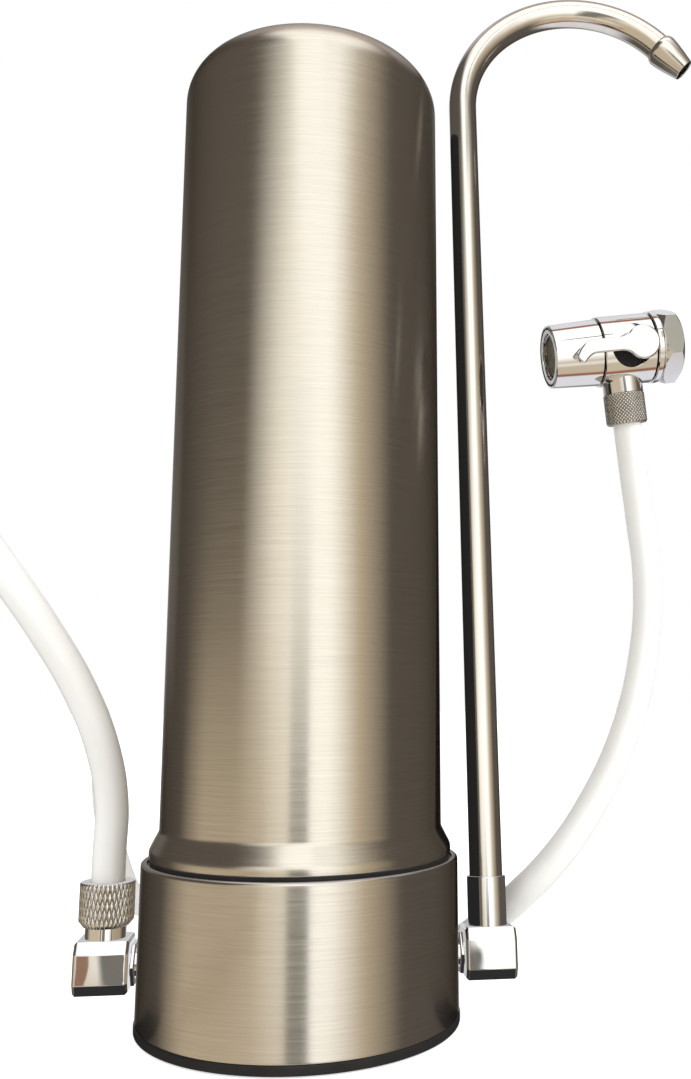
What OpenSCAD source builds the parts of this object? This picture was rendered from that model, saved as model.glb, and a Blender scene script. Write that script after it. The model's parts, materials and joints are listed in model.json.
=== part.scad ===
// Countertop water filter: a steel canister screwed onto a round base, a gooseneck spout on the right,
// and a feed hose from the inlet on the left to a diverter valve that fits on a kitchen tap.
// Millimetres, +Z up. The origin is the centre of the foot's underside, on the canister's axis.
// The ports lie along X: the inlet at -X and the outlet at +X.

/* [Foot] */
// Thickness of the foot pad that the sleeve stands on
foot_h = 3; // [2:0.5:6]
// How far the foot pad stands out past the sleeve
foot_proud = 0.3; // [0:0.1:1]
// Thickness of the bottom plate
plate_t = 3; // [2.5:0.5:5]
// Number of screws through the bottom plate
screw_n = 4; // [3:1:6]
// Shank diameter of these screws
screw_d = 4; // [3:0.5:5]
// Length of these screws
screw_len = 12; // [9:1:14]
// Radius of the circle that the screws stand on
screw_ring_r = 31; // [28:1:34]

/* [Base] */
// Outside diameter of the steel sleeve
sleeve_od = 106; // [104:1:116]
// Wall of the sleeve
sleeve_wall = 1.2; // [0.8:0.1:1.5]
// Height of the sleeve from the foot to its rim
sleeve_h = 49; // [47:1:56]
// How far the rolled rim reaches inwards
lip_w = 2; // [1.6:0.1:2.6]
// Thickness of the rolled rim
lip_t = 1.5; // [1.3:0.1:2.5]
// How far the head's top lies below the rim
head_drop = 0.8; // [0.4:0.1:1.2]
// Height of the port axes above the table
port_z = 19.5; // [18.5:0.5:22]
// Depth of the threaded ports in the head
port_depth = 12; // [10:0.5:13]
// Plastic above the ports, under the wet floor
floor_cover = 4.5; // [3:0.1:6]
// Plastic below the ports
floor_under = 3.6; // [2:0.1:5]
// Wall of the head round its hollow underside
head_wall = 5; // [3:0.5:8]
// Plastic round each screw
screw_boss_wall = 3; // [2:0.5:4]
// Height of the ledge round the wet floor
ledge_h = 3.5; // [2:0.5:5]
// Diameter of the level water channels
channel_d = 6; // [5.6:0.1:7]
// Diameter of the upright water channels
riser_d = 5; // [4:0.2:5.4]
// Diameter of the stub that centres the cartridge
stub_d = 18; // [14:1:19]
// Height of that stub
stub_h = 10; // [6:1:14]

/* [Canister] */
// How far the skirt stands inside the sleeve's outside
skirt_inset = 2.4; // [2:0.1:4]
// How far the wall stands inside the skirt
cone_inset = 3.1; // [1:0.1:5]
// How far the thread lies inside the wall's outside
thread_inset = 3.2; // [2.4:0.1:5]
// Wall of the canister
canister_wall = 1; // [0.8:0.1:1.4]
// Height of the canister from its skirt to its top
canister_h = 286.8; // [280:0.2:320]
// Radius of the rounded shoulder
shoulder_r = 14.7; // [6:0.1:20]
// Height of the straight skirt
skirt_h = 2.7; // [2:0.1:5]
// Height of the cone between the skirt and the wall
cone_h = 6; // [4:0.5:10]
// Height of the black gasket that shows over the rim
gasket_show = 1.1; // [0.6:0.1:2]
// Distance of that gasket's inner edge from the thread
gasket_inset = 1.5; // [0.5:0.1:3]
// Wall of the threaded collar in the canister's mouth
collar_wall = 4; // [3:0.5:5]
// Height of the collar's flange
collar_flange_h = 6; // [4:0.5:10]
// Section of the seal under the collar
seal_d = 2.6; // [2:0.2:3.4]

/* [Cartridge] */
// Length of the cartridge over its end caps
cartridge_l = 254; // [240:1:256]
// Outside diameter of the cartridge
cartridge_od = 64; // [60:0.5:66]
// Thickness of the flat gaskets at its ends
cartridge_gasket_t = 3; // [2:0.5:4]
// Outside diameter of these gaskets
cartridge_gasket_d = 41.6; // [36:0.2:50]
// Thickness of the end caps
cap_t = 3; // [2:0.5:5]
// Height of the end caps' skirts
cap_skirt_h = 8; // [5:1:12]
// Thickness of the outer wrap
wrap_t = 1.6; // [1:0.2:3]
// Inside diameter of the carbon block
carbon_bore_d = 31; // [28:1:36]
// Wall of the perforated core tube
core_wall = 2; // [1.5:0.1:3]
// Diameter of the plate that presses on the cartridge
press_d = 48; // [44:1:56]
// Thickness of that plate
press_t = 4; // [3:0.5:6]
// Mean diameter of the spring under the canister's top
spring_d = 36; // [30:1:40]
// Wire of that spring
spring_wire = 2.4; // [1.6:0.2:3]
// Turns of that spring
spring_turns = 5; // [4:1:7]

/* [Fittings] */
// Width and depth of the elbow blocks
elbow_s = 17.4; // [16:0.2:19]
// Height of the elbow blocks
elbow_h = 16.6; // [15.6:0.2:19]
// Height of the bevels along their front and back
elbow_bevel_h = 3.6; // [1:0.1:5]
// Depth of these bevels
elbow_bevel_d = 2; // [1:0.1:5]
// Chamfer round their ends
elbow_edge = 0.8; // [0.3:0.1:1.5]
// Diameter of the port threads
port_thread_d = 9.7; // [9:0.1:12]
// Wall of the hexagon collar at its flats
hex_wall = 1.5; // [0.8:0.1:2]
// Thickness of the hexagon collar
hex_t = 2; // [1.5:0.1:4]
// Thickness of the sealing washer in a port
port_washer_t = 1.5; // [1:0.1:2]
// Outside diameter of the hose
hose_od = 11; // [10.6:0.1:11.6]
// Inside diameter of the hose
hose_bore_d = 8; // [7.8:0.1:8.6]
// Diameter of the barb inside the hose
barb_d = 7; // [5.5:0.1:7.2]
// Length of the barb past the hose's seat
barb_l = 10; // [6:0.5:12]
// Diameter of the threaded spigots under the hose nuts
spigot_d = 13.2; // [12.8:0.1:13.6]
// Length of the spigot that shows under the inlet's nut
spigot_show = 2.9; // [1.5:0.1:5]
// Length of the spigot inside a hose nut
spigot_in = 5.5; // [4:0.5:7]
// Diameter of the inlet's knurled hose nut
inlet_nut_d = 18.6; // [17.4:0.2:20]
// Diameter of the diverter's knurled hose nut
port_nut_d = 16; // [15.6:0.1:17.4]
// Height of the inlet's hose nut
inlet_nut_h = 15.9; // [13:0.1:18]
// Height of the diverter's hose nut
port_nut_h = 12; // [10:0.1:15]
// Chamfer at the hose nuts' ends
nut_chamfer = 0.7; // [0.4:0.1:0.8]

/* [Spout] */
// Outside diameter of the spout's tube
tube_od = 11.5; // [10.5:0.1:12]
// Wall of the spout's tube
tube_wall = 1; // [0.8:0.1:1.2]
// Outside diameter of the socket that the spout turns in
socket_od = 13.4; // [13.2:0.1:14.4]
// Height of the socket above its elbow block
socket_show = 15.9; // [12:0.1:24]
// Depth of the socket in its elbow block
socket_in = 5.8; // [3:0.1:6.4]
// Height of the arch's start above the outlet's axis
spout_h = 334; // [260:1:360]
// Radius of the arch, to the tube's middle
arch_r = 50.5; // [40:0.5:60]
// Angle that the arch turns through
arch_sweep = 137; // [110:1:160]
// Angle by which the outlet elbow is turned back on its thread
spout_lean = 5.25; // [0:0.25:6]
// Angle by which the spout is turned towards the front
spout_turn = 3; // [-30:1:30]
// Length of the nozzle past the tube's end
nozzle_l = 16; // [10:0.5:24]
// Diameter of the nozzle's shoulder
nozzle_d = 13.8; // [12.8:0.1:15]
// Length of the nozzle's shoulder
nozzle_shoulder_l = 3.5; // [2:0.5:6]
// Length of the stub inside the tube's end
nozzle_stub_l = 2.5; // [1:0.1:2.6]
// Diameter of the nozzle's tip
nozzle_tip_d = 9.2; // [8.6:0.1:10]
// Diameter of the nozzle's outlet
nozzle_bore = 7.4; // [5:0.1:7.8]
// Length of the plug below the tube's end
plug_l = 11; // [9:0.5:12]
// Section of the plug's seals
plug_seal_d = 1.3; // [1:0.1:1.5]

/* [Diverter] */
// Angle by which the diverter's tap end is raised
diverter_tilt = 7.5; // [0:0.5:12]
// Angle by which the diverter is rolled on its own axis, lever side down
diverter_roll = 8; // [0:0.5:12]
// Diameter of the diverter's body
body_d = 27.6; // [26:0.2:30]
// Length of the body left of the hose port's axis
body_left = 9.5; // [8.6:0.1:12]
// Length of the body right of the hose port's axis
body_right = 11.5; // [11:0.1:14]
// Diameter of the boss that holds the hose port
boss_d = 15.6; // [14:0.2:17]
// How far that boss stands below the body
boss_show = 3.6; // [1:0.1:5]
// Diameter of the outlet sleeve at its mouth
outlet_d = 24.6; // [23.6:0.1:26]
// Diameter of the outlet sleeve where it meets the body
outlet_joint_d = 26.2; // [24.6:0.1:27]
// Length of the outlet sleeve
outlet_l = 19; // [16:0.5:22]
// Wall of the outlet sleeve over the body's spigot
outlet_skin = 1.8; // [1.2:0.1:2.4]
// Wall of the outlet sleeve at its mouth
outlet_wall = 2.8; // [2:0.1:3.2]
// Thickness of the aerator's screen
aerator_screen_t = 0.6; // [0.4:0.1:1]
// Depth of the mouth in front of the aerator
mouth_depth = 2; // [1:0.1:3]
// Diameter of the chamber that the shuttle slides in
chamber_d = 12.4; // [11.6:0.1:13]
// Distance of the lever's axis from the hose port's axis
lever_x = 4.9; // [4:0.1:5.1]
// Diameter of the lever's round head
lever_head_d = 13.2; // [11:0.2:13.6]
// Reach of the lever from its axis to its tip
lever_l = 26.8; // [20:0.1:32]
// Width of the lever's arm
lever_w = 5.4; // [4:0.1:8]
// Thickness of the lever
lever_t = 2.8; // [2.4:0.1:4]
// Diameter of the stem under the lever's head
stem_d = 9.6; // [8.4:0.2:10]
// Diameter of the pocket that the stem stands in
pocket_d = 17.4; // [17:0.1:19]
// Distance of the pocket's axis from the hose port's axis
pocket_x = 1.6; // [1.4:0.1:2]
// Depth of that pocket
pocket_depth = 4.8; // [2:0.1:5.4]
// Diameter of the lever's shaft
shaft_d = 6; // [5.6:0.1:6.6]
// Offset of the shaft's pin
pin_offset = 1.8; // [1.4:0.1:1.9]
// Diameter of the shaft's pin
pin_d = 2.2; // [1.6:0.1:2.2]
// Diameter of the spigot that the tap nut turns on
swivel_d = 17; // [16:0.1:17.4]
// Tap nut, across its flats
tap_nut_af = 27; // [25:0.1:30]
// Length of the tap nut
tap_nut_l = 10.7; // [9.5:0.1:16]
// Diameter of the tap nut's round collar
tap_collar_d = 28.4; // [27:0.1:30]
// Length of the tap nut's round collar
tap_collar_l = 3.3; // [2.6:0.1:5]
// Diameter of the tap nut's thread
tap_thread_d = 20.9; // [20.6:0.1:22]
// Thickness of the washer in the tap nut
tap_washer_t = 1.6; // [1:0.1:2.2]

/* [Clearances] */
// Radial clearance of a turning or sliding fit
run_gap = 0.05; // [0.02:0.01:0.1]
// Radial clearance of a seal in its bore
seal_gap = 0.02; // [0.01:0.01:0.04]
// Gap between faces that rest on each other
seat_gap = 0.1; // [0.05:0.01:0.2]
// Gap between pieces that pass each other
slip_gap = 0.3; // [0.2:0.05:0.5]

/* [Hidden] */
$fn = 96;
// How far a cutting tool runs past a face
cut = 1;

steel = "#b9b0a0";
chrome = "#d5d8db";
black = "#1b1b1c";
rubber = "#2a2a2b";
white = "#f1f0ea";
carbon = "#2f2f31";
gray = "#8c8c8c";
brass = "#b08d4a";

// Heights in the base
sleeve_r = sleeve_od / 2;
rim_z = foot_h + sleeve_h;
plate_z = foot_h;
head_z = plate_z + plate_t;
head_top = rim_z - head_drop;
head_r = sleeve_r - sleeve_wall - slip_gap;
head_neck_r = sleeve_r - lip_w - slip_gap;
port_hole_r = port_thread_d / 2 + seat_gap;
floor_z = port_z + port_hole_r + floor_cover;
ledge_z = floor_z + ledge_h;
core_bottom_z = port_z - port_hole_r - floor_under;
gasket_top = rim_z + gasket_show;

// Canister and its collar
canister_z = gasket_top + seat_gap;
skirt_r = sleeve_r - skirt_inset;
canister_r = skirt_r - cone_inset;
canister_top = canister_z + canister_h;
thread_r = canister_r - thread_inset;
collar_in_r = thread_r - collar_wall;
collar_z = ledge_z + seal_d + seat_gap;
flange_z = canister_z + skirt_h + cone_h + slip_gap;

// Cartridge, from the wet floor up
cap_r = cartridge_od / 2;
gasket_in_r = stub_d / 2 + slip_gap;
cartridge_z = floor_z + cartridge_gasket_t;
cartridge_top = cartridge_z + cartridge_l;
press_z = cartridge_top + cartridge_gasket_t + seat_gap;
spring_z = press_z + press_t + seat_gap;
spring_top = canister_top - canister_wall - seat_gap;
feed_x = (cap_r + collar_in_r) / 2;

// Elbows, hose nuts and hose
hex_x = sleeve_r + seat_gap;
fit_x = hex_x + hex_t + elbow_s / 2;
port_end = head_r - port_depth;
nipple_end = port_end + port_washer_t + seat_gap;
nipple_l = fit_x - nipple_end;
spigot_r = spigot_d / 2;
elbow_top = elbow_h / 2;
nut_z = elbow_top + spigot_show;
hose_seat = nut_z + spigot_in;

// Spout
tube_r = tube_od / 2;
tube_bore_r = tube_r - tube_wall;
socket_bore_r = tube_r + run_gap;
socket_z = elbow_top - socket_in;
socket_top = elbow_top + socket_show;
plug_z = socket_z + slip_gap;
tube_z = plug_z + plug_l + seat_gap;
plug_r = tube_r - run_gap;
plug_stub_l = 8;
plug_seal_at = [plug_z + plug_l * 0.27, plug_z + plug_l * 0.64];

// Diverter: its place, and its body with the chamber
diverter_at = [122, 12, 239.9];
body_r = body_d / 2;
body_spigot_r = outlet_d / 2 - outlet_skin;
body_spigot_l = 6.5;
body_spigot_x = -body_left - body_spigot_l;
outlet_x = -body_left - seat_gap - outlet_l;
outlet_bore_r = outlet_d / 2 - outlet_wall;
chamber_r = chamber_d / 2;
chamber_past = 4.5;
chamber_step = 1.6;
chamber_right = lever_x + chamber_past;
inlet_bore_r = chamber_r - chamber_step;
seat_in = 1.5;
seat_w = 1.8;
seat_x = -body_left - seat_in;
seat_bore_r = chamber_r - seat_w;

// Hose port
boss_z = body_r + boss_show;
boss_wall = 3.1;
boss_floor = 2;
barb_wall = 1.2;
port_stem_r = boss_d / 2 - boss_wall;
port_stem_z = chamber_r + boss_floor;
port_bore_d = barb_d - 2 * barb_wall;
port_spigot_z = boss_z + seat_gap;
port_seat = port_spigot_z + spigot_in;

// Lever, its shaft and the shuttle. The pin starts half a quarter turn before the top of its travel.
stem_y = body_r - pocket_depth + slip_gap;
lever_y = body_r + slip_gap;
lever_front = lever_y + lever_t;
lever_skin = 1.5;
shaft_r = shaft_d / 2;
shaft_in = chamber_r - chamber_step;
shaft_out = lever_front - lever_skin;
shaft_groove = 0.7;
shaft_groove_y = (chamber_r + body_r - pocket_depth) / 2;
pin_end = 0.5;
pin_l = shaft_in - pin_end;
pin_x = pin_offset * cos(45);
pin_ease = 0.25;
shuttle_stroke = 2 * pin_x;
shuttle_left = seat_x + shuttle_stroke + slip_gap / 2;
shuttle_right = chamber_right - cut;

// Tap nut and what holds it
swivel_r = swivel_d / 2;
tap_nut_x = body_right + slip_gap;
tap_nut_end = tap_nut_x + tap_nut_l;
tap_lip_t = 1.6;
tap_lip_end = tap_nut_x + tap_lip_t;
clip_t = 0.9;
clip_x = tap_lip_end + 2 * seat_gap;
clip_groove = 0.8;
swivel_past = 0.6;
swivel_end = clip_x + clip_t + swivel_past;
tap_relief_r = tap_thread_d / 2 - 2 * seat_gap;
tap_inside_r = tap_relief_r - slip_gap;
tap_thread_x = swivel_end + tap_washer_t + slip_gap;
tap_ease = 0.4;
tap_nut_turn = -10;

// Places along the feed hose, chosen by hand: up from the inlet, over to the left and back, down behind
// the inlet, in a wide turn on the table behind the base, past the outlet elbow and up to the diverter
port_dir = [
    cos(diverter_roll) * sin(diverter_tilt),
    sin(diverter_roll),
    -cos(diverter_roll) * cos(diverter_tilt)
];
hose_route = concat(
    [[-fit_x, 0, port_z + hose_seat], [-fit_x, 0, 54]],
    [[-63.6, -1, 70], [-66.3, -6, 88], [-73.2, -12, 107], [-84.2, -19, 127], [-97.5, -26, 147]],
    [[-111.5, -24, 165], [-124.5, -11.5, 180], [-133.5, 7, 187.5], [-137.5, 30.5, 186.5]],
    [[-133, 54.5, 174.5], [-123.5, 68, 158.5], [-108, 80, 133], [-94.5, 90, 108], [-86.5, 100, 83]],
    [[-84.5, 109, 56.5], [-80.5, 119, 32], [-74.5, 136.5, 14.5], [-63, 159.5, 7]],
    [[-43, 176.5, 6], [-20, 182, 6], [2.5, 176.5, 6], [19.5, 163, 6], [31, 140.5, 6], [35, 115, 6]],
    [[38.5, 90, 6], [47, 65, 7], [56.5, 42.5, 11.5], [67, 27, 22], [78, 18.5, 33], [92, 15.5, 47]],
    [[106, 16, 65], [119.2, 15.5, 90], [128.7, 17.2, 120], [132.3, 19.6, 148.5]],
    [[130.6, 20.2, 174], [128.2, 18.6, 193.3]],
    [diverter_at + port_dir * (port_seat + port_nut_h), diverter_at + port_dir * port_seat]
);
hose_sides = 12;

// Shared shapes

// A tube standing on z = 0
module ring(r_out, r_in, h) {
    difference() {
        cylinder(r = r_out, h = h);
        translate([0, 0, -cut]) cylinder(r = r_in, h = h + 2 * cut);
    }
}

// A round seal lying in the XY plane
module seal(r_mid, section_d) {
    rotate_extrude() translate([r_mid, 0]) circle(d = section_d);
}

// A cylinder along +X from x0 to x1
module x_rod(r, x0, x1) {
    translate([x0, 0, 0]) rotate([0, 90, 0]) cylinder(r = r, h = x1 - x0);
}

// A cylinder along Y, from y0 to y1, at a distance x
module y_rod(r, y0, y1, x) {
    translate([x, y1, 0]) rotate([90, 0, 0]) cylinder(r = r, h = y1 - y0);
}

// A bar along Z, centred, with its long edges cut off by a along X and b along Y
module bevelled_bar(size, a, b) {
    x = size[0] / 2;
    y = size[1] / 2;
    translate([0, 0, -size[2] / 2]) linear_extrude(size[2]) polygon([
        [x, y - b], [x - a, y], [a - x, y], [-x, y - b],
        [-x, b - y], [a - x, -y], [x - a, -y], [x, b - y]
    ]);
}

// An elbow's block: large bevels along X, small chamfers round its ends
module elbow_block() {
    intersection() {
        rotate([0, 90, 0]) bevelled_bar([elbow_h, elbow_s, elbow_s], elbow_bevel_h, elbow_bevel_d);
        bevelled_bar([elbow_s, elbow_s, elbow_h], elbow_edge, elbow_edge);
        rotate([90, 0, 0]) bevelled_bar([elbow_s, elbow_h, elbow_s], elbow_edge, elbow_edge);
    }
}

// Places

module at_inlet() {
    translate([-fit_x, 0, port_z]) children();
}

module at_outlet() {
    translate([fit_x, 0, port_z]) rotate([-spout_lean, 0, 0]) children();
}

// The spout turns on the outlet's axis
module at_spout() {
    at_outlet() rotate([0, 0, -spout_turn]) children();
}

module at_nozzle() {
    at_spout()
        translate([arch_r * (1 - cos(arch_sweep)), 0, spout_h + arch_r * sin(arch_sweep)])
            rotate([0, arch_sweep, 0]) children();
}

module at_diverter() {
    translate(diverter_at) rotate([0, -diverter_tilt, 0]) rotate([diverter_roll, 0, 0]) children();
}

// The hose port points down, so its +Z is the diverter's -Z
module at_port() {
    at_diverter() rotate([180, 0, 0]) children();
}

// Foot and base

module foot_pad() {
    color(rubber) cylinder(r = sleeve_r + foot_proud, h = foot_h);
}

module at_screws() {
    for (i = [0 : screw_n - 1])
        rotate([0, 0, 45 + i * 360 / screw_n]) translate([screw_ring_r, 0, plate_z]) children();
}

module screw_shape(gap) {
    cylinder(r = screw_d / 2 + gap, h = screw_len);
    cylinder(r1 = screw_d + gap, r2 = screw_d / 2 + gap, h = screw_d / 2);
}

module base_plate() {
    color(black) difference() {
        translate([0, 0, plate_z]) cylinder(r = head_r, h = plate_t);
        at_screws() translate([0, 0, -seat_gap]) screw_shape(seat_gap);
    }
}

module base_screws() {
    color(gray) at_screws() screw_shape(0);
}

module base_sleeve() {
    color(steel) difference() {
        rotate_extrude() {
            translate([sleeve_r - sleeve_wall, foot_h]) square([sleeve_wall, sleeve_h - sleeve_wall]);
            translate([sleeve_r - sleeve_wall, rim_z - sleeve_wall]) intersection() {
                circle(r = sleeve_wall);
                square(sleeve_wall);
            }
            translate([sleeve_r - lip_w, rim_z - lip_t]) square([lip_w - sleeve_wall, lip_t]);
        }
        translate([0, 0, port_z]) x_rod(port_thread_d / 2 + slip_gap, -sleeve_r - cut, sleeve_r + cut);
    }
}

module base_head() {
    boss_r = screw_d / 2 + screw_boss_wall;
    color(black) difference() {
        union() {
            difference() {
                union() {
                    translate([0, 0, head_z]) cylinder(r = head_r, h = rim_z - lip_t - slip_gap - head_z);
                    translate([0, 0, head_z]) cylinder(r = head_neck_r, h = head_top - head_z);
                }
                translate([0, 0, ledge_z]) cylinder(r = thread_r + run_gap, h = head_top - ledge_z + cut);
                translate([0, 0, floor_z]) cylinder(r = collar_in_r, h = ledge_h + cut);
                translate([0, 0, head_z - cut])
                    cylinder(r = head_r - head_wall, h = core_bottom_z - head_z + cut);
            }
            translate([0, 0, core_bottom_z]) cylinder(d = stub_d, h = floor_z + stub_h - core_bottom_z);
            at_screws() translate([0, 0, plate_t]) cylinder(r = boss_r, h = core_bottom_z - head_z + cut);
        }
        at_screws() cylinder(r = screw_d / 2 + seat_gap, h = screw_len + seat_gap);
        translate([0, 0, port_z]) {
            x_rod(port_hole_r, port_end, head_r + cut);
            x_rod(port_hole_r, -head_r - cut, -port_end);
            x_rod(channel_d / 2, -riser_d, port_end + cut);
            x_rod(channel_d / 2, -port_end - cut, -feed_x + riser_d);
            cylinder(d = riser_d, h = floor_z + stub_h);
            translate([-feed_x, 0, 0]) cylinder(d = riser_d, h = floor_z);
        }
    }
}

module rim_gasket() {
    r_out = min(skirt_r, head_neck_r) - slip_gap;
    color(rubber) translate([0, 0, head_top]) ring(r_out, thread_r + gasket_inset, gasket_top - head_top);
}

module canister_seal() {
    color(rubber) translate([0, 0, ledge_z + seal_d / 2]) seal(thread_r - collar_wall / 2, seal_d);
}

// Canister

// Half of the canister's outline, drawn in by a wall thickness
module canister_half(wall) {
    r = canister_r - wall;
    corner_r = shoulder_r - wall;
    flat_z = canister_h - shoulder_r;
    polygon([
        [0, 0], [skirt_r - wall, 0], [skirt_r - wall, skirt_h],
        [r, skirt_h + cone_h], [r, flat_z], [0, flat_z]
    ]);
    translate([0, flat_z - cut]) square([r - corner_r, corner_r + cut]);
    translate([r - corner_r, flat_z]) circle(r = corner_r);
}

module canister_shell() {
    color(steel) translate([0, 0, canister_z]) difference() {
        rotate_extrude() canister_half(0);
        rotate_extrude() canister_half(canister_wall);
        translate([0, 0, -cut]) cylinder(r = skirt_r - canister_wall, h = 2 * cut);
    }
}

module canister_collar() {
    flange_r = canister_r - canister_wall - seat_gap;
    color(gray) {
        translate([0, 0, collar_z]) ring(thread_r, collar_in_r, flange_z - collar_z);
        translate([0, 0, flange_z]) ring(flange_r, collar_in_r, collar_flange_h);
    }
}

// Cartridge and what presses on it

module cartridge_bottom_gasket() {
    color(rubber) translate([0, 0, floor_z]) ring(cartridge_gasket_d / 2, gasket_in_r, cartridge_gasket_t);
}

// An end cap standing on z = 0 with its skirt upwards
module end_cap() {
    difference() {
        cylinder(r = cap_r, h = cap_t + cap_skirt_h);
        translate([0, 0, cap_t]) cylinder(r = cap_r - wrap_t + seat_gap, h = cap_skirt_h + cut);
        translate([0, 0, -cut]) cylinder(r = gasket_in_r, h = cap_t + 2 * cut);
    }
}

module cartridge_bottom_cap() {
    color(white) translate([0, 0, cartridge_z]) end_cap();
}

module cartridge_top_cap() {
    color(white) translate([0, 0, cartridge_top]) mirror([0, 0, 1]) end_cap();
}

module cartridge_core() {
    core_r = carbon_bore_d / 2 - seat_gap;
    core_l = cartridge_l - 2 * cap_t - 2 * seat_gap;
    hole_rows = 8;
    color(white) translate([0, 0, cartridge_z + cap_t + seat_gap]) difference() {
        ring(core_r, core_r - core_wall, core_l);
        for (i = [1 : hole_rows], turn = [0, 90])
            translate([0, 0, i * core_l / (hole_rows + 1)])
                rotate([0, 0, turn]) x_rod(core_wall, -carbon_bore_d, carbon_bore_d);
    }
}

module carbon_block() {
    color(carbon) translate([0, 0, cartridge_z + cap_t + seat_gap])
        ring(cap_r - wrap_t - seat_gap, carbon_bore_d / 2, cartridge_l - 2 * cap_t - 2 * seat_gap);
}

module cartridge_wrap() {
    z0 = cartridge_z + cap_t + cap_skirt_h + seat_gap;
    color(white) translate([0, 0, z0])
        ring(cap_r, cap_r - wrap_t, cartridge_l - 2 * (cap_t + cap_skirt_h + seat_gap));
}

module cartridge_top_gasket() {
    color(rubber) translate([0, 0, cartridge_top])
        ring(cartridge_gasket_d / 2, gasket_in_r, cartridge_gasket_t);
}

module pressure_plate() {
    guide_r = (spring_d - spring_wire) / 2 * cos(180 / spring_rings) - slip_gap;
    color(white) translate([0, 0, press_z]) {
        cylinder(d = press_d, h = press_t);
        cylinder(r = guide_r, h = press_t + 2 * spring_wire);
    }
}

// Sides of the spring's wire, and rings in one turn
spring_sides = 6;
spring_rings = 8;

// The corner k of the spring's ring i
function spring_point(i, k, rise) =
    let (turn = i * 360 / spring_rings, side = k * 360 / spring_sides)
    let (r = spring_d / 2 + spring_wire / 2 * cos(side))
    [r * cos(turn), r * sin(turn), rise * i + spring_wire / 2 * sin(side)];

// Triangles between the rings of a tube, and the fans that close its ends
function tube_walls(rings, sides, first, flip) = [
    for (i = [0 : rings - 2], k = [0 : sides - 1])
        let (a = first + i * sides + k, b = first + i * sides + (k + 1) % sides)
        each flip
            ? [[a, a + sides, b], [b, a + sides, b + sides]]
            : [[a, b, a + sides], [b, b + sides, a + sides]]
];

function tube_ends(rings, sides) = [
    for (k = [1 : sides - 2])
        each [[0, k + 1, k], [(rings - 1) * sides, (rings - 1) * sides + k, (rings - 1) * sides + k + 1]]
];

module pressure_spring() {
    rings = spring_turns * spring_rings + 1;
    rise = (spring_top - spring_z - spring_wire) / (rings - 1);
    points = [for (i = [0 : rings - 1], k = [0 : spring_sides - 1]) spring_point(i, k, rise)];
    color(gray) translate([0, 0, spring_z + spring_wire / 2])
        polyhedron(points, concat(tube_walls(rings, spring_sides, 0, true), [
            for (face = tube_ends(rings, spring_sides)) [face[0], face[2], face[1]]
        ]));
}

// Inlet and outlet fittings. A fitting's +X points at the base.

module port_washer() {
    translate([port_end, 0, 0]) rotate([0, 90, 0])
        ring(port_thread_d / 2, channel_d / 2, port_washer_t);
}

module port_hex() {
    translate([hex_x, 0, 0]) rotate([0, 90, 0]) difference() {
        cylinder(r = (port_hole_r + hex_wall) / cos(30), h = hex_t, $fn = 6);
        translate([0, 0, -cut]) cylinder(r = port_hole_r, h = hex_t + 2 * cut);
    }
}

module elbow_outside() {
    elbow_block();
    x_rod(port_thread_d / 2, 0, nipple_l);
}

module inlet_washer() {
    color(rubber) translate([0, 0, port_z]) mirror([1, 0, 0]) port_washer();
}

module inlet_hex() {
    color(chrome) translate([0, 0, port_z]) mirror([1, 0, 0]) port_hex();
}

module outlet_washer() {
    color(rubber) translate([0, 0, port_z]) port_washer();
}

module outlet_hex() {
    color(chrome) translate([0, 0, port_z]) port_hex();
}

// A threaded spigot with its hose barb, from z = 0 outwards
module hose_spigot(show) {
    cylinder(r = spigot_r, h = show + spigot_in);
    cylinder(d = barb_d, h = show + spigot_in + barb_l);
}

module inlet_elbow() {
    color(chrome) at_inlet() difference() {
        union() {
            elbow_outside();
            translate([0, 0, elbow_top - cut]) hose_spigot(spigot_show + cut);
        }
        x_rod(channel_d / 2, -riser_d, nipple_l + cut);
        cylinder(d = port_bore_d, h = hose_seat + barb_l + cut);
    }
}

// A knurled nut whose threaded end lies on z = 0
module hose_nut(d, h) {
    r = d / 2;
    thread_deep = spigot_in + slip_gap;
    difference() {
        rotate_extrude() polygon([
            [0, 0], [r - nut_chamfer, 0], [r, nut_chamfer], [r, h - nut_chamfer],
            [r - nut_chamfer, h], [0, h]
        ]);
        translate([0, 0, -cut]) cylinder(r = spigot_r + seat_gap, h = thread_deep + cut);
        cylinder(r = hose_od / 2 + slip_gap, h = h + cut);
    }
}

module inlet_hose_nut() {
    color(chrome) at_inlet() translate([0, 0, nut_z]) hose_nut(inlet_nut_d, inlet_nut_h);
}

module outlet_elbow() {
    color(chrome) at_outlet() difference() {
        mirror([1, 0, 0]) elbow_outside();
        mirror([1, 0, 0]) x_rod(channel_d / 2, -riser_d, nipple_l + cut);
        cylinder(d = riser_d, h = elbow_s);
        translate([0, 0, socket_z]) cylinder(r = socket_od / 2 + seat_gap / 2, h = elbow_s);
    }
}

// Spout

module spout_socket() {
    color(steel) at_outlet() translate([0, 0, socket_z + seat_gap / 2])
        ring(socket_od / 2, socket_bore_r, socket_top - socket_z - seat_gap / 2);
}

module spout_plug() {
    groove_r = socket_bore_r - plug_seal_d - seat_gap;
    color(brass) at_outlet() difference() {
        union() {
            translate([0, 0, plug_z]) cylinder(r = plug_r, h = plug_l);
            translate([0, 0, plug_z]) cylinder(r = tube_bore_r - run_gap, h = plug_l + plug_stub_l);
        }
        for (z = plug_seal_at)
            translate([0, 0, z - plug_seal_d / 2 - seat_gap])
                ring(plug_r + cut, groove_r, plug_seal_d + 2 * seat_gap);
        translate([0, 0, plug_z - cut]) cylinder(d = riser_d, h = plug_l + plug_stub_l + 2 * cut);
    }
}

module spout_seals() {
    color(rubber) at_outlet()
        for (z = plug_seal_at)
            translate([0, 0, z]) seal(socket_bore_r - seal_gap - plug_seal_d / 2, plug_seal_d);
}

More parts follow.
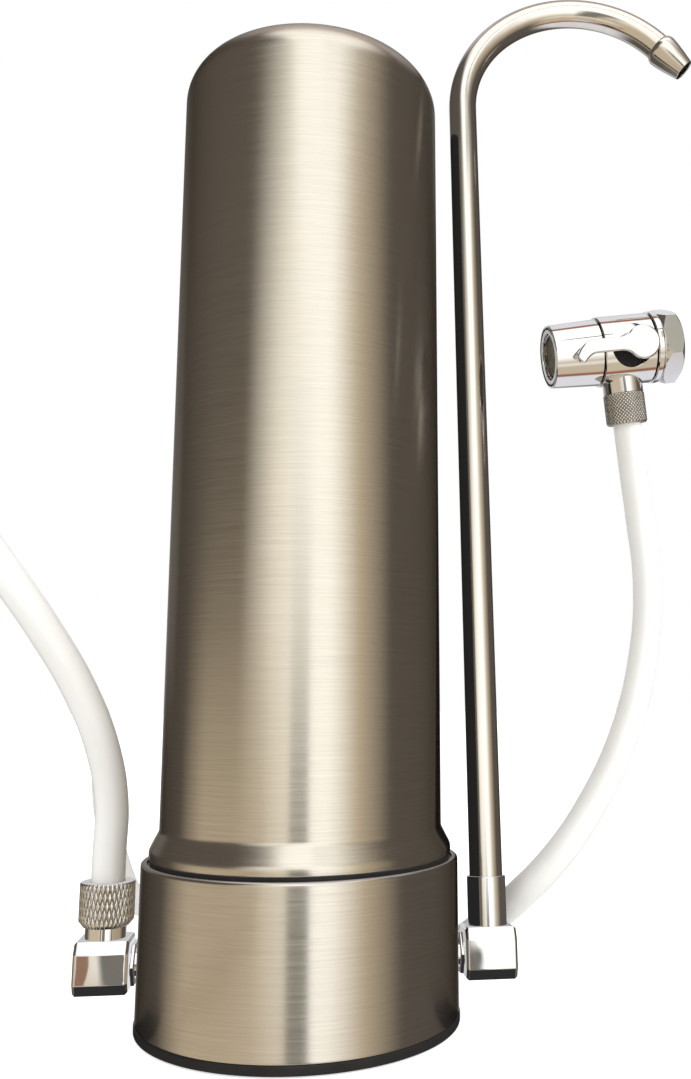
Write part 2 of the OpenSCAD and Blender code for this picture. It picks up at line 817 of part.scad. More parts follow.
module spout_tube() {
    color(steel) at_spout() translate([0, 0, spout_h]) {
        mirror([0, 0, 1]) ring(tube_r, tube_bore_r, spout_h - tube_z);
        translate([arch_r, 0, 0]) mirror([1, 0, 0]) rotate([90, 0, 0])
            rotate_extrude(angle = arch_sweep) translate([arch_r, 0]) difference() {
                circle(r = tube_r);
                circle(r = tube_bore_r);
            }
    }
}

module spout_nozzle() {
    r = nozzle_d / 2;
    round_l = 1.8;
    stub_r = tube_bore_r - 2 * run_gap;
    color(steel) at_nozzle() difference() {
        union() {
            rotate_extrude() polygon([
                [0, seat_gap], [tube_r + seat_gap, seat_gap], [r, round_l], [r, nozzle_shoulder_l],
                [nozzle_tip_d / 2, nozzle_l], [0, nozzle_l]
            ]);
            translate([0, 0, -nozzle_stub_l]) cylinder(r = stub_r, h = nozzle_stub_l + cut);
        }
        translate([0, 0, -nozzle_stub_l - cut])
            cylinder(d = nozzle_bore, h = nozzle_stub_l + nozzle_l + 2 * cut);
    }
}

// Feed hose

// Turns a vector about a unit axis
function turned(v, axis, angle) =
    v * cos(angle) + cross(axis, v) * sin(angle) + axis * (axis * v) * (1 - cos(angle));

function unit(v) = v / norm(v);

hose_rings = len(hose_route);
hose_tangents = [
    for (i = [0 : hose_rings - 1])
        i == 0 ? [0, 0, 1]
        : i == hose_rings - 1 ? -port_dir
        : unit(hose_route[i + 1] - hose_route[i - 1])
];

// A direction square to the hose, carried from ring to ring without twist
function hose_side(i) =
    i == 0 ? [1, 0, 0]
    : let (before = hose_side(i - 1), t = hose_tangents[i]) unit(before - t * (before * t));

hose_sides_at = [for (i = [0 : hose_rings - 1]) hose_side(i)];

function hose_ring(i, r) = [
    for (k = [0 : hose_sides - 1])
        hose_route[i] + r * turned(hose_sides_at[i], hose_tangents[i], k * 360 / hose_sides)
];

module hose() {
    inner = hose_rings * hose_sides;
    last = (hose_rings - 1) * hose_sides;
    points = concat(
        [for (i = [0 : hose_rings - 1]) each hose_ring(i, hose_od / 2)],
        [for (i = [0 : hose_rings - 1]) each hose_ring(i, hose_bore_d / 2)]
    );
    end_faces = [
        for (k = [0 : hose_sides - 1])
            let (m = (k + 1) % hose_sides)
            each [
                [k, m, inner + k], [m, inner + m, inner + k],
                [last + k, inner + last + k, last + m], [last + m, inner + last + k, inner + last + m]
            ]
    ];
    color(white) polyhedron(points, concat(
        tube_walls(hose_rings, hose_sides, 0, true),
        tube_walls(hose_rings, hose_sides, inner, false),
        end_faces
    ));
}

// Diverter valve. Its +X points at the tap, its -Z at the hose and its -Y at the lever.

module diverter_hose_nut() {
    color(chrome) at_port() translate([0, 0, port_spigot_z]) hose_nut(port_nut_d, port_nut_h);
}

module diverter_port() {
    color(chrome) at_port() difference() {
        union() {
            translate([0, 0, port_spigot_z]) hose_spigot(0);
            translate([0, 0, port_stem_z]) cylinder(r = port_stem_r, h = port_spigot_z - port_stem_z + cut);
        }
        cylinder(d = port_bore_d, h = port_seat + barb_l + cut);
    }
}

module diverter_body() {
    color(chrome) at_diverter() difference() {
        union() {
            x_rod(body_r, -body_left, body_right);
            x_rod(body_spigot_r, body_spigot_x, -body_left + cut);
            x_rod(swivel_r, body_right - cut, swivel_end);
            rotate([180, 0, 0]) cylinder(d = boss_d, h = boss_z);
        }
        x_rod(chamber_r, body_spigot_x - cut, chamber_right);
        x_rod(inlet_bore_r, chamber_right - cut, swivel_end + cut);
        y_rod(shaft_r + run_gap, -body_r, 0, lever_x);
        y_rod(pocket_d / 2, -body_r - cut, -body_r + pocket_depth, pocket_x);
        rotate([180, 0, 0]) cylinder(d = port_bore_d, h = boss_z);
        rotate([180, 0, 0]) translate([0, 0, port_stem_z - seat_gap])
            cylinder(r = port_stem_r + seat_gap, h = boss_z);
        translate([clip_x - seat_gap, 0, 0]) rotate([0, 90, 0])
            ring(swivel_r + cut, swivel_r - clip_groove, clip_t + 2 * seat_gap);
    }
}

module diverter_outlet() {
    color(chrome) at_diverter() difference() {
        translate([outlet_x, 0, 0]) rotate([0, 90, 0])
            cylinder(d1 = outlet_d, d2 = outlet_joint_d, h = outlet_l);
        x_rod(outlet_bore_r, outlet_x - cut, body_spigot_x);
        x_rod(body_spigot_r + seat_gap, body_spigot_x - seat_gap, 0);
    }
}

module aerator_core() {
    jets = 8;
    jet_r = 1.2;
    jet_ring_r = outlet_bore_r * 0.6;
    start = outlet_x + mouth_depth + aerator_screen_t + seat_gap;
    end = body_spigot_x - slip_gap;
    color(white) at_diverter() difference() {
        x_rod(outlet_bore_r - seat_gap, start, end);
        for (i = [0 : jets - 1])
            rotate([i * 360 / jets, 0, 0]) translate([0, 0, jet_ring_r]) x_rod(jet_r, start - cut, end + cut);
    }
}

module aerator_screen() {
    start = outlet_x + mouth_depth;
    color(gray) at_diverter() x_rod(outlet_bore_r - seat_gap, start, start + aerator_screen_t);
}

module valve_seat() {
    color(rubber) at_diverter() translate([body_spigot_x + seat_gap, 0, 0]) rotate([0, 90, 0])
        ring(chamber_r - seat_gap, seat_bore_r, seat_x - body_spigot_x - seat_gap);
}

// A piston that the shaft's pin moves along the chamber: its holes let water through to the outlet
module valve_shuttle() {
    pin_at = lever_x + pin_x;
    slot_r = pin_d / 2 + pin_ease;
    low = pin_x - slot_r;
    high = pin_offset + slot_r;
    step_x = lever_x - shaft_r - slip_gap;
    step_y = shaft_in - slip_gap;
    hole_at = chamber_r * 0.45;
    hole_r = 1.3;
    color(white) at_diverter() difference() {
        x_rod(chamber_r - run_gap, shuttle_left, shuttle_right);
        translate([step_x, -chamber_r - cut, -chamber_r])
            cube([chamber_d, chamber_r + cut - step_y, chamber_d]);
        translate([pin_at - slot_r, -chamber_r, low])
            cube([2 * slot_r, chamber_r - pin_end + slip_gap, high - low]);
        for (side = [-1, 1])
            translate([0, hole_at, side * hole_at]) x_rod(hole_r, shuttle_left - cut, shuttle_right + cut);
    }
}

// The lever's plate: a round head, with an arm along -X whose end hooks down
module lever_plate() {
    w = lever_w / 2;
    l = lever_l;
    linear_extrude(lever_t) {
        circle(d = lever_head_d);
        polygon([
            [0, w], [-0.18 * l, 1.5 * w], [-0.24 * l, 1.15 * w], [-0.31 * l, w], [-0.76 * l, w],
            [-0.83 * l, 0.8 * w], [-0.88 * l, 0.42 * w], [-0.93 * l, -0.1 * w], [-0.97 * l, -0.75 * w],
            [-l, -1.4 * w], [-0.96 * l, -2 * w], [-0.9 * l, -2.3 * w], [-0.86 * l, -1.85 * w],
            [-0.8 * l, -1.35 * w], [-0.71 * l, -w], [-0.31 * l, -w], [-0.24 * l, -1.15 * w],
            [-0.18 * l, -1.5 * w], [0, -w]
        ]);
    }
}

module lever() {
    color(chrome) at_diverter() difference() {
        union() {
            translate([lever_x, -lever_y, 0]) rotate([90, 0, 0]) lever_plate();
            y_rod(stem_d / 2, -lever_y - cut, -stem_y, lever_x);
        }
        y_rod(shaft_r + run_gap, -shaft_out - seat_gap, 0, lever_x);
    }
}

module lever_shaft() {
    groove_w = 1;
    color(brass) at_diverter() {
        difference() {
            y_rod(shaft_r, -shaft_out, -shaft_in, lever_x);
            translate([lever_x, groove_w / 2 - shaft_groove_y, 0]) rotate([90, 0, 0])
                ring(shaft_r + cut, shaft_r - shaft_groove, groove_w);
        }
        translate([0, 0, pin_x]) y_rod(pin_d / 2, -shaft_in - cut, -shaft_in + pin_l, lever_x + pin_x);
    }
}

module lever_seal() {
    color(rubber) at_diverter() translate([lever_x, -shaft_groove_y, 0]) rotate([90, 0, 0])
        seal(shaft_r + seal_gap - shaft_groove / 2, shaft_groove - seal_gap);
}

module tap_nut() {
    flat_r = tap_nut_af / 2;
    corner_r = flat_r / cos(30);
    hex_x0 = tap_nut_x + tap_collar_l;
    hex_l = tap_nut_end - hex_x0;
    half_l = hex_l / 2;
    color(chrome) at_diverter() difference() {
        union() {
            x_rod(tap_collar_d / 2, tap_nut_x, hex_x0);
            intersection() {
                translate([hex_x0 - cut, 0, 0]) rotate([0, 90, 0]) rotate([0, 0, tap_nut_turn])
                    cylinder(r = corner_r, h = hex_l + cut, $fn = 6);
                translate([hex_x0 - cut, 0, 0]) rotate([0, 90, 0]) union() {
                    cylinder(r1 = flat_r + tap_ease, r2 = flat_r + half_l, h = half_l + cut);
                    translate([0, 0, half_l + cut]) cylinder(r1 = flat_r + half_l, r2 = flat_r, h = half_l);
                }
            }
        }
        x_rod(swivel_r + run_gap, tap_nut_x - cut, tap_nut_end + cut);
        x_rod(tap_relief_r, tap_lip_end, tap_nut_end + cut);
        x_rod(tap_thread_d / 2, tap_thread_x, tap_nut_end + cut);
    }
}

module tap_nut_clip() {
    color(gray) at_diverter() translate([clip_x, 0, 0]) rotate([0, 90, 0])
        ring(tap_inside_r, swivel_r - clip_groove + run_gap, clip_t);
}

module tap_washer() {
    color(rubber) at_diverter() translate([swivel_end + seat_gap / 2, 0, 0]) rotate([0, 90, 0])
        ring(tap_inside_r, inlet_bore_r, tap_washer_t);
}

foot_pad();
base_plate();
base_screws();
base_sleeve();
base_head();
rim_gasket();
canister_seal();
canister_shell();
canister_collar();
cartridge_bottom_gasket();
cartridge_bottom_cap();
cartridge_core();
carbon_block();
cartridge_wrap();
cartridge_top_cap();
cartridge_top_gasket();
pressure_plate();
pressure_spring();
inlet_washer();
inlet_hex();
inlet_elbow();
inlet_hose_nut();
outlet_washer();
outlet_hex();
outlet_elbow();
spout_socket();
spout_plug();
spout_seals();
spout_tube();
spout_nozzle();
hose();
diverter_hose_nut();
diverter_port();
diverter_body();
diverter_outlet();
aerator_core();
aerator_screen();
valve_seat();
valve_shuttle();
lever();
lever_shaft();
lever_seal();
tap_nut();
tap_nut_clip();
tap_washer();
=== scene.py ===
# Looks of a countertop water filter: a brushed steel canister on a round base, a gooseneck spout on its
# right, and a white feed hose that leaves the left port and ends in a chrome diverter for a kitchen tap.
# Shapes are drawn in millimetres and turned into metres as each piece is finished.
import json
import math

import bmesh
import bpy
from mathutils import Matrix, Vector


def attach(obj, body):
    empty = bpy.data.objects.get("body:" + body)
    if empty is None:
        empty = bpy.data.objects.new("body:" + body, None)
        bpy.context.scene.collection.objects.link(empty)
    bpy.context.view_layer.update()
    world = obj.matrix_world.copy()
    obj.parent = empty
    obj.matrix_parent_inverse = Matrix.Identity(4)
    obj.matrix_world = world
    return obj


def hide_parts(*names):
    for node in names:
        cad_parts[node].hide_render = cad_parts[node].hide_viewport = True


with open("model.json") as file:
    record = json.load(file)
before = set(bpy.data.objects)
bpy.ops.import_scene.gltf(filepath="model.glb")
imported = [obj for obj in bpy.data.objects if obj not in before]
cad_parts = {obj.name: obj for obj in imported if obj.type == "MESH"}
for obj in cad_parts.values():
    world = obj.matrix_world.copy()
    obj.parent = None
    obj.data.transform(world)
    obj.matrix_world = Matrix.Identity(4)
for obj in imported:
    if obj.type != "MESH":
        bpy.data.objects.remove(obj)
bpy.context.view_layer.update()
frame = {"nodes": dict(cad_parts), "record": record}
scene = bpy.context.scene
scene.view_settings.view_transform = "Standard"

# Camera
# It stands close in front and low, tilted up, so that the canister narrows towards its top.
photo_w, photo_h = 691, 1079
camera_at = Vector((0.0, -0.368778, 0.105787))
yaw, pitch, roll = 0.116, 0.177, -0.006
focal_px = 1030.704
axis_px = (425.0, 510.0)
sensor_mm = 36.0
ahead = Vector((math.sin(yaw) * math.cos(pitch), math.cos(yaw) * math.cos(pitch), math.sin(pitch)))
level = Vector((math.cos(yaw), -math.sin(yaw), 0.0))
over = level.cross(ahead)
camera_x = level * math.cos(roll) + over * math.sin(roll)
camera_y = over * math.cos(roll) - level * math.sin(roll)
lens = bpy.data.cameras.new("lens")
lens.sensor_width = sensor_mm
lens.lens = focal_px * sensor_mm / photo_h
lens.shift_x = (photo_w / 2 - axis_px[0]) / photo_h
lens.shift_y = (axis_px[1] - photo_h / 2) / photo_h
lens.clip_start = 0.01
camera = bpy.data.objects.new("camera", lens)
scene.collection.objects.link(camera)
facing = Matrix((camera_x, camera_y, -ahead)).transposed()
camera.matrix_world = Matrix.Translation(camera_at) @ facing.to_4x4()
scene.camera = camera

# Floor
# A plain pale studio floor under the filter. It keeps a faint shadow and is left out of the metal's
# reflections, which show the studio walls instead.
floor_half = 6.0
floor_z = -0.0004
floor_glow = 0.62
bm = bmesh.new()
bmesh.ops.create_grid(bm, x_segments=1, y_segments=1, size=floor_half)
bmesh.ops.translate(bm, vec=(0.0, 0.0, floor_z), verts=bm.verts)
mesh = bpy.data.meshes.new("floor")
bm.to_mesh(mesh)
bm.free()
floor = bpy.data.objects.new("floor", mesh)
scene.collection.objects.link(floor)
floor.visible_glossy = False
paint = bpy.data.materials.new("floor_paint")
paint.use_nodes = True
nodes, links = paint.node_tree.nodes, paint.node_tree.links
shader = nodes["Principled BSDF"]
shader.inputs["Base Color"].default_value = (0.86, 0.86, 0.86, 1.0)
shader.inputs["Roughness"].default_value = 0.9
shader.inputs["Emission Color"].default_value = (1.0, 1.0, 1.0, 1.0)
path = nodes.new("ShaderNodeLightPath")
glow = nodes.new("ShaderNodeMath")
glow.operation = "MULTIPLY"
glow.inputs[1].default_value = floor_glow
links.new(path.outputs["Is Camera Ray"], glow.inputs[0])
links.new(glow.outputs[0], shader.inputs["Emission Strength"])
mesh.materials.append(paint)

# Studio walls
# White behind the filter for the camera, and an even white for matt surfaces. Metal mirrors a room whose
# walls run from the front, at 0 degrees, to behind it, at 180: light in front, dark on both sides, a tan
# panel low on the left, a dark rail high up, a dark post low in front, and a pale backdrop.
white, cream, tan = (1.0, 1.0, 0.96), (0.85, 0.82, 0.74), (0.45, 0.38, 0.28)
dusk, mist, rust, pale = (0.08, 0.07, 0.06), (0.4, 0.4, 0.4), (0.25, 0.1, 0.05), (0.6, 0.6, 0.62)
wall_right = [(0, white), (22, white), (45, tan), (75, dusk), (155, dusk), (172, mist), (180, pale)]
wall_left = [(0, white), (28, cream), (54, dusk), (128, dusk), (158, mist), (180, pale)]
low_left = [(0, cream), (35, tan), (85, tan), (112, dusk), (150, dusk), (162, mist), (180, pale)]
ceiling = [(0, white), (84, white), (90, rust), (95, rust), (100, pale), (180, pale)]
bench = [(0, cream), (48, cream), (60, tan), (84, tan), (90, rust), (95, rust), (100, pale), (180, pale)]
wall_light = 1.3
wall_shift, wall_lean = 0.05, 0.12
rail_z, rail_half, rail_from = 0.65, 0.022, 0.15
post_x, post_half, post_tone = -0.115, 0.16, (0.15, 0.14, 0.12)
steep, wide, low_edge = (0.80, 0.96), (0.42, 0.78), (-0.05, 0.07)
bench_from, post_to, soft_edge = (0.23, 0.31), (0.3, 0.4), 0.6
even_light = 0.88
room = bpy.data.worlds.new("room")
scene.world = room
room.use_nodes = True
room.cycles.sampling_method = "NONE"
nodes, links = room.node_tree.nodes, room.node_tree.links
backing = nodes["Background"]


def sums(kind, first, second=0.0):
    """A Math node of that kind on two sockets or numbers, and its result."""
    node = nodes.new("ShaderNodeMath")
    node.operation = kind
    for socket, value in zip(node.inputs, (first, second)):
        if isinstance(value, float):
            socket.default_value = value
        else:
            links.new(value, socket)
    return node.outputs[0]


def step(value, low, high):
    """A smooth step of a value, from 0 at low to 1 at high."""
    node = nodes.new("ShaderNodeMapRange")
    node.interpolation_type = "SMOOTHSTEP"
    node.inputs["From Min"].default_value = low
    node.inputs["From Max"].default_value = high
    links.new(value, node.inputs["Value"])
    return node.outputs["Result"]


def wall(stops, share):
    """A wall's colour at a share of the way from the front to the back."""
    node = nodes.new("ShaderNodeValToRGB")
    while len(node.color_ramp.elements) < len(stops):
        node.color_ramp.elements.new(0.5)
    for element, (degrees, colour) in zip(node.color_ramp.elements, stops):
        element.position = degrees / 180
        element.color = (*colour, 1.0)
    links.new(share, node.inputs["Fac"])
    return node.outputs["Color"]


def between(share, first, second):
    """A mix of two colours, sockets or plain."""
    node = nodes.new("ShaderNodeMix")
    node.data_type = "RGBA"
    links.new(share, node.inputs["Factor"])
    for socket, value in ((node.inputs["A"], first), (node.inputs["B"], second)):
        if isinstance(value, tuple):
            socket.default_value = value
        else:
            links.new(value, socket)
    return node.outputs["Result"]


looking = nodes.new("ShaderNodeTexCoord")
split = nodes.new("ShaderNodeSeparateXYZ")
links.new(looking.outputs["Generated"], split.inputs[0])
up = split.outputs["Z"]
across = sums("SUBTRACT", sums("ADD", split.outputs["X"], sums("MULTIPLY", up, wall_lean)), wall_shift)
to_back = sums("MULTIPLY", sums("ARCCOSINE", sums("MULTIPLY", split.outputs["Y"], -1.0)), 1 / math.pi)
across_2, up_2 = sums("MULTIPLY", across, across), sums("MULTIPLY", up, up)
high_half = sums("GREATER_THAN", up)
on_right = sums("GREATER_THAN", across)
slope = sums("DIVIDE", up_2, sums("MAXIMUM", sums("ADD", across_2, up_2), 1e-6))
overhead = sums("MAXIMUM", step(slope, *steep), sums("MULTIPLY", on_right, step(slope, *wide)))
beneath = sums("MULTIPLY", step(slope, *wide), step(to_back, *bench_from))
up_share = between(high_half, beneath, overhead)
from_low = step(up, *low_edge)
low_sides = between(on_right, wall(low_left, to_back), wall(wall_right, to_back))
high_sides = between(on_right, wall(wall_left, to_back), wall(wall_right, to_back))
from_post = step(sums("ABSOLUTE", sums("SUBTRACT", across, post_x)), post_half * soft_edge, post_half)
off_post = sums("MAXIMUM", from_post, step(to_back, *post_to))
low_sides = between(off_post, (*post_tone, 1.0), low_sides)
sides = between(from_low, low_sides, high_sides)
top_and_bottom = between(high_half, wall(bench, to_back), wall(ceiling, to_back))
from_rail = step(sums("ABSOLUTE", sums("SUBTRACT", up, rail_z)), rail_half * soft_edge, rail_half)
off_rail = sums("MAXIMUM", from_rail, sums("LESS_THAN", across, rail_from))
walls = nodes.new("ShaderNodeVectorMath")
walls.operation = "SCALE"
walls.inputs["Scale"].default_value = wall_light
links.new(between(off_rail, (*dusk, 1.0), between(up_share, sides, top_and_bottom)), walls.inputs[0])
path = nodes.new("ShaderNodeLightPath")
in_metal = sums("MAXIMUM", path.outputs["Is Glossy Ray"], path.outputs["Is Transmission Ray"])
seen = between(in_metal, (even_light, even_light, even_light, 1.0), walls.outputs["Vector"])
shown = between(path.outputs["Is Camera Ray"], seen, (1.0, 1.0, 1.0, 1.0))
links.new(shown, backing.inputs["Color"])

# Lamps
# Two soft boxes for the matt pieces: a large one high on the left and in front, and a nearer one on the
# right.
lamp_aim = Vector((0.0, 0.0, 0.15))
for lamp_name, lamp_at, lamp_size, lamp_watts in (
    ("soft_box_left", (-0.75, -0.85, 1.05), 0.9, 4.0),
    ("soft_box_right", (0.9, -0.5, 0.7), 0.6, 7.0),
):
    box = bpy.data.lights.new(lamp_name, "AREA")
    box.shape = "SQUARE"
    box.size = lamp_size
    box.energy = lamp_watts
    lamp = bpy.data.objects.new(lamp_name, box)
    scene.collection.objects.link(lamp)
    lamp.location = lamp_at
    lamp.rotation_euler = (lamp_aim - lamp.location).to_track_quat("-Z", "Y").to_euler()
    lamp.visible_glossy = False

# Cards
# Thin glowing cards that only the metal's reflections show, which paint reflections into it: a black one
# on the floor under each fitting, which darkens the lower bevels of the chrome as painted shade, a brown
# one in front on the left, two upright between canister and spout, which paint the canister's dark
# reflection into the tube, and an olive one in front of the tap nut.
to_metres = (0.001, 0.001, 0.001)
black = (0.03, 0.03, 0.03)
for card_name, card_colour, card_corners in (
    ("black_card_left", black, ((-82, -22, 0), (-52, -22, 0), (-52, 0, 0), (-82, 0, 0))),
    ("black_card_right", black, ((52, -22, 0), (82, -22, 0), (82, 0, 0), (52, 0, 0))),
    ("brown_card", (0.3, 0.18, 0.12), ((-180, -320, 0), (-146, -320, 0), (-79, -42, 0), (-88, -42, 0))),
    (
        "black_card_upright", (0.02, 0.02, 0.02),
        ((55.6, -8.5, 28), (55.6, 12, 28), (55.6, 41, 340), (55.6, 20.5, 340)),
    ),
    (
        "olive_card_upright", (0.15, 0.13, 0.1),
        ((55.6, -12, 28), (55.6, -8.5, 28), (55.6, 20.5, 340), (55.6, 17, 340)),
    ),
    (
        "olive_card_tap", (0.45, 0.43, 0.36),
        ((157.3, -58.6, 257), (166.4, -55.1, 257), (163.3, -46.8, 277), (154.2, -50.3, 277)),
    ),
):
    bm = bmesh.new()
    bm.faces.new([bm.verts.new(corner) for corner in card_corners])
    bmesh.ops.scale(bm, vec=to_metres, verts=bm.verts)
    mesh = bpy.data.meshes.new(card_name)
    bm.to_mesh(mesh)
    bm.free()
    card = bpy.data.objects.new(card_name, mesh)
    scene.collection.objects.link(card)
    card.visible_camera = card.visible_diffuse = card.visible_shadow = card.visible_transmission = False
    paint = bpy.data.materials.new(card_name)
    paint.use_nodes = True
    shader = paint.node_tree.nodes["Principled BSDF"]
    shader.inputs["Base Color"].default_value = (0.0, 0.0, 0.0, 1.0)
    shader.inputs["Specular IOR Level"].default_value = 0.0
    shader.inputs["Emission Color"].default_value = (*card_colour, 1.0)
    shader.inputs["Emission Strength"].default_value = 1.0
    mesh.materials.append(paint)

# Foot pad
# A round pad of black rubber that the base stands on. It is moulded, with a soft edge, and stuck to the
# plate.
foot_r, foot_h, foot_edge = 53.3, 3.0, 0.6
base_steps = 224
smooth_below = math.radians(42)


def turned(profile, steps, closed=False):
    """A solid turned about Z from (radius, height) pairs."""
    bm = bmesh.new()
    line = [bm.verts.new((r, 0.0, z)) for r, z in profile]
    edges = [bm.edges.new(pair) for pair in zip(line, line[1:])]
    if closed:
        edges.append(bm.edges.new((line[-1], line[0])))
    bmesh.ops.spin(bm, geom=line + edges, axis=(0, 0, 1), angle=math.tau, steps=steps, use_merge=True)
    bmesh.ops.remove_doubles(bm, verts=bm.verts, dist=1e-4)
    bmesh.ops.recalc_face_normals(bm, faces=bm.faces)
    return bm


def rim(bm, r, z):
    """The ring of edges at that radius and height."""
    return [e for e in bm.edges if all(abs(v.co.xy.length - r) + abs(v.co.z - z) < 1e-3 for v in e.verts)]


def corners(bm, degrees):
    """The edges where two faces meet at more than that angle."""
    return [e for e in bm.edges if len(e.link_faces) == 2 and math.degrees(e.calc_face_angle()) > degrees]


def soften(bm, edges, width, segments=3):
    """Rounds those edges."""
    bmesh.ops.bevel(
        bm, geom=edges, offset=width, offset_type="OFFSET", segments=segments, profile=0.5,
        affect="EDGES", clamp_overlap=True, material=-1,
    )


def piece(bm, name, finish, body, slot, *stands_for, place=Matrix(), even=True, mirrored=True):
    """Puts a drawn shape in its place as a finished piece that rides on a body."""
    bm.transform(place)
    bmesh.ops.scale(bm, vec=to_metres, verts=bm.verts)
    for face in bm.faces:
        face.smooth = True
    for edge in bm.edges:
        edge.smooth = len(edge.link_faces) == 2 and edge.calc_face_angle() < smooth_below
    mesh = bpy.data.meshes.new(name)
    bm.to_mesh(mesh)
    bm.free()
    mesh.materials.append(finish)
    obj = bpy.data.objects.new(name, mesh)
    scene.collection.objects.link(obj)
    obj.visible_glossy = mirrored
    if even:
        obj.modifiers.new("even_shading", "WEIGHTED_NORMAL").keep_sharp = True
    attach(obj, body)
    if stands_for:
        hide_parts(*stands_for)
    return obj


def new_finish(name, metallic, **sockets):
    """A material with one Principled shader; sockets sets its plain values."""
    finish = bpy.data.materials.new(name)
    finish.use_nodes = True
    shader = finish.node_tree.nodes["Principled BSDF"]
    shader.inputs["Metallic"].default_value = metallic
    for socket, value in sockets.items():
        shader.inputs[socket.replace("_", " ")].default_value = value
    return finish, finish.node_tree, shader


def grain(tree, stretch, detail=3.0, rough=0.5):
    """Noise on the piece's own place, drawn out by a frequency along each axis, per metre."""
    where = tree.nodes.new("ShaderNodeTexCoord")
    mapping = tree.nodes.new("ShaderNodeMapping")
    mapping.inputs["Scale"].default_value = stretch
    noise = tree.nodes.new("ShaderNodeTexNoise")
    noise.inputs["Scale"].default_value = 1.0
    noise.inputs["Detail"].default_value = detail
    noise.inputs["Roughness"].default_value = rough
    tree.links.new(where.outputs["Object"], mapping.inputs["Vector"])
    tree.links.new(mapping.outputs["Vector"], noise.inputs["Vector"])
    return noise.outputs["Fac"]


def spread(tree, value, low, high, socket):
    """Sends noise to a socket as a number from low to high."""
    node = tree.nodes.new("ShaderNodeMapRange")
    node.inputs["From Min"].default_value = 0.28
    node.inputs["From Max"].default_value = 0.72
    node.inputs["To Min"].default_value = low
    node.inputs["To Max"].default_value = high
    tree.links.new(value, node.inputs["Value"])
    tree.links.new(node.outputs["Result"], socket)


def tint(tree, value, dark, light, socket):
    """Sends noise to a socket as a colour between two."""
    node = tree.nodes.new("ShaderNodeValToRGB")
    node.color_ramp.elements[0].position = 0.3
    node.color_ramp.elements[1].position = 0.7
    node.color_ramp.elements[0].color = (*dark, 1.0)
    node.color_ramp.elements[1].color = (*light, 1.0)
    tree.links.new(value, node.inputs["Fac"])
    tree.links.new(node.outputs["Color"], socket)


def relief(tree, value, strength, height, shader):
    """Noise as a fine relief, height in metres."""
    node = tree.nodes.new("ShaderNodeBump")
    node.inputs["Strength"].default_value = strength
    node.inputs["Distance"].default_value = height
    tree.links.new(value, node.inputs["Height"])
    tree.links.new(node.outputs["Normal"], shader.inputs["Normal"])


black_rubber, tree, shader = new_finish("black_rubber", 0.0, Specular_IOR_Level=0.35)
speckle = grain(tree, (1400, 1400, 1400), 4.0)
clouds = grain(tree, (60, 60, 60))
tint(tree, clouds, (0.010, 0.010, 0.011), (0.020, 0.019, 0.019), shader.inputs["Base Color"])
spread(tree, speckle, 0.48, 0.66, shader.inputs["Roughness"])
relief(tree, speckle, 0.25, 0.00006, shader)

bm = turned([(0, 0), (foot_r, 0), (foot_r, foot_h), (0, foot_h)], base_steps)
soften(bm, rim(bm, foot_r, 0) + rim(bm, foot_r, foot_h), foot_edge)
piece(bm, "rubber_foot", black_rubber, "base", "rubber", "foot_pad")

# Base sleeve
# A band of brushed stainless steel round the moulded head. Its top is rolled over into a polished rim, and
# the brushing runs round it, so that reflections spread up and down.
sleeve_r, sleeve_wall, sleeve_low, sleeve_top = 53.0, 1.2, 3.05, 52.0
lip_r, lip_low = 51.0, 50.5
roll_r = 0.85


def brushed_steel(name, dark, light, roughness, brush):
    """Stainless steel brushed round the Z axis, with fine scratches and soft tone changes."""
    finish, tree, shader = new_finish(
        name, 1.0, Anisotropic=0.82, Anisotropic_Rotation=0.25, Specular_Tint=(0.32, 0.29, 0.27, 1.0),
    )
    way = tree.nodes.new("ShaderNodeTangent")
    way.direction_type = "RADIAL"
    way.axis = "Z"
    tree.links.new(way.outputs["Tangent"], shader.inputs["Tangent"])
    lines = grain(tree, (45, 45, brush), 5.0, 0.62)
    tint(tree, lines, dark, light, shader.inputs["Base Color"])
    patches = grain(tree, (30, 30, brush * 0.6), 4.0, 0.6)
    spread(tree, patches, roughness[0], roughness[1], shader.inputs["Roughness"])
    relief(tree, lines, 0.04, 0.00003, shader)
    return finish


sleeve_steel = brushed_steel("sleeve_steel", (0.725, 0.685, 0.625), (0.81, 0.765, 0.70), (0.19, 0.26), 2300)
bm = turned(
    [
        (sleeve_r - sleeve_wall, sleeve_low), (sleeve_r, sleeve_low), (sleeve_r, sleeve_low + 0.6),
        (sleeve_r, sleeve_top - roll_r - 0.5), (sleeve_r, sleeve_top), (lip_r, sleeve_top), (lip_r, lip_low),
        (sleeve_r - sleeve_wall, lip_low),
    ],
    base_steps, closed=True,
)
soften(bm, rim(bm, sleeve_r, sleeve_top), roll_r, 8)
soften(bm, rim(bm, sleeve_r, sleeve_low) + rim(bm, lip_r, sleeve_top), 0.2, 2)
piece(bm, "steel_sleeve", sleeve_steel, "base", "sleeve_steel", "base_sleeve", even=False)

# Rim gasket
# A flat black ring that lies in the rim and shows as a dark line under the canister.
gasket_in, gasket_out, gasket_low, gasket_top = 45.8, 50.3, 51.2, 53.1
bm = turned(
    [(gasket_in, gasket_low), (gasket_out, gasket_low), (gasket_out, gasket_top), (gasket_in, gasket_top)],
    base_steps, closed=True,
)
soften(bm, corners(bm, 60), 0.3)
piece(bm, "gasket_ring", black_rubber, "base", "rubber", "rim_gasket", mirrored=False)

# Canister
# A deep-drawn stainless steel can, open below. A short skirt and a cone lead up to the straight wall, and a
# round shoulder to the flat top. It is brushed round and screws onto the head by a collar inside its mouth.
can_r, skirt_r, can_wall = 47.5, 50.6, 1.0
skirt_low, skirt_top, cone_top = 53.2, 55.9, 61.9
shoulder_r, shoulder_z, can_top = 14.7, 325.3, 340.0
shoulder_steps = 28
can_steel = brushed_steel("can_steel", (0.735, 0.69, 0.615), (0.82, 0.775, 0.70), (0.20, 0.27), 2300)


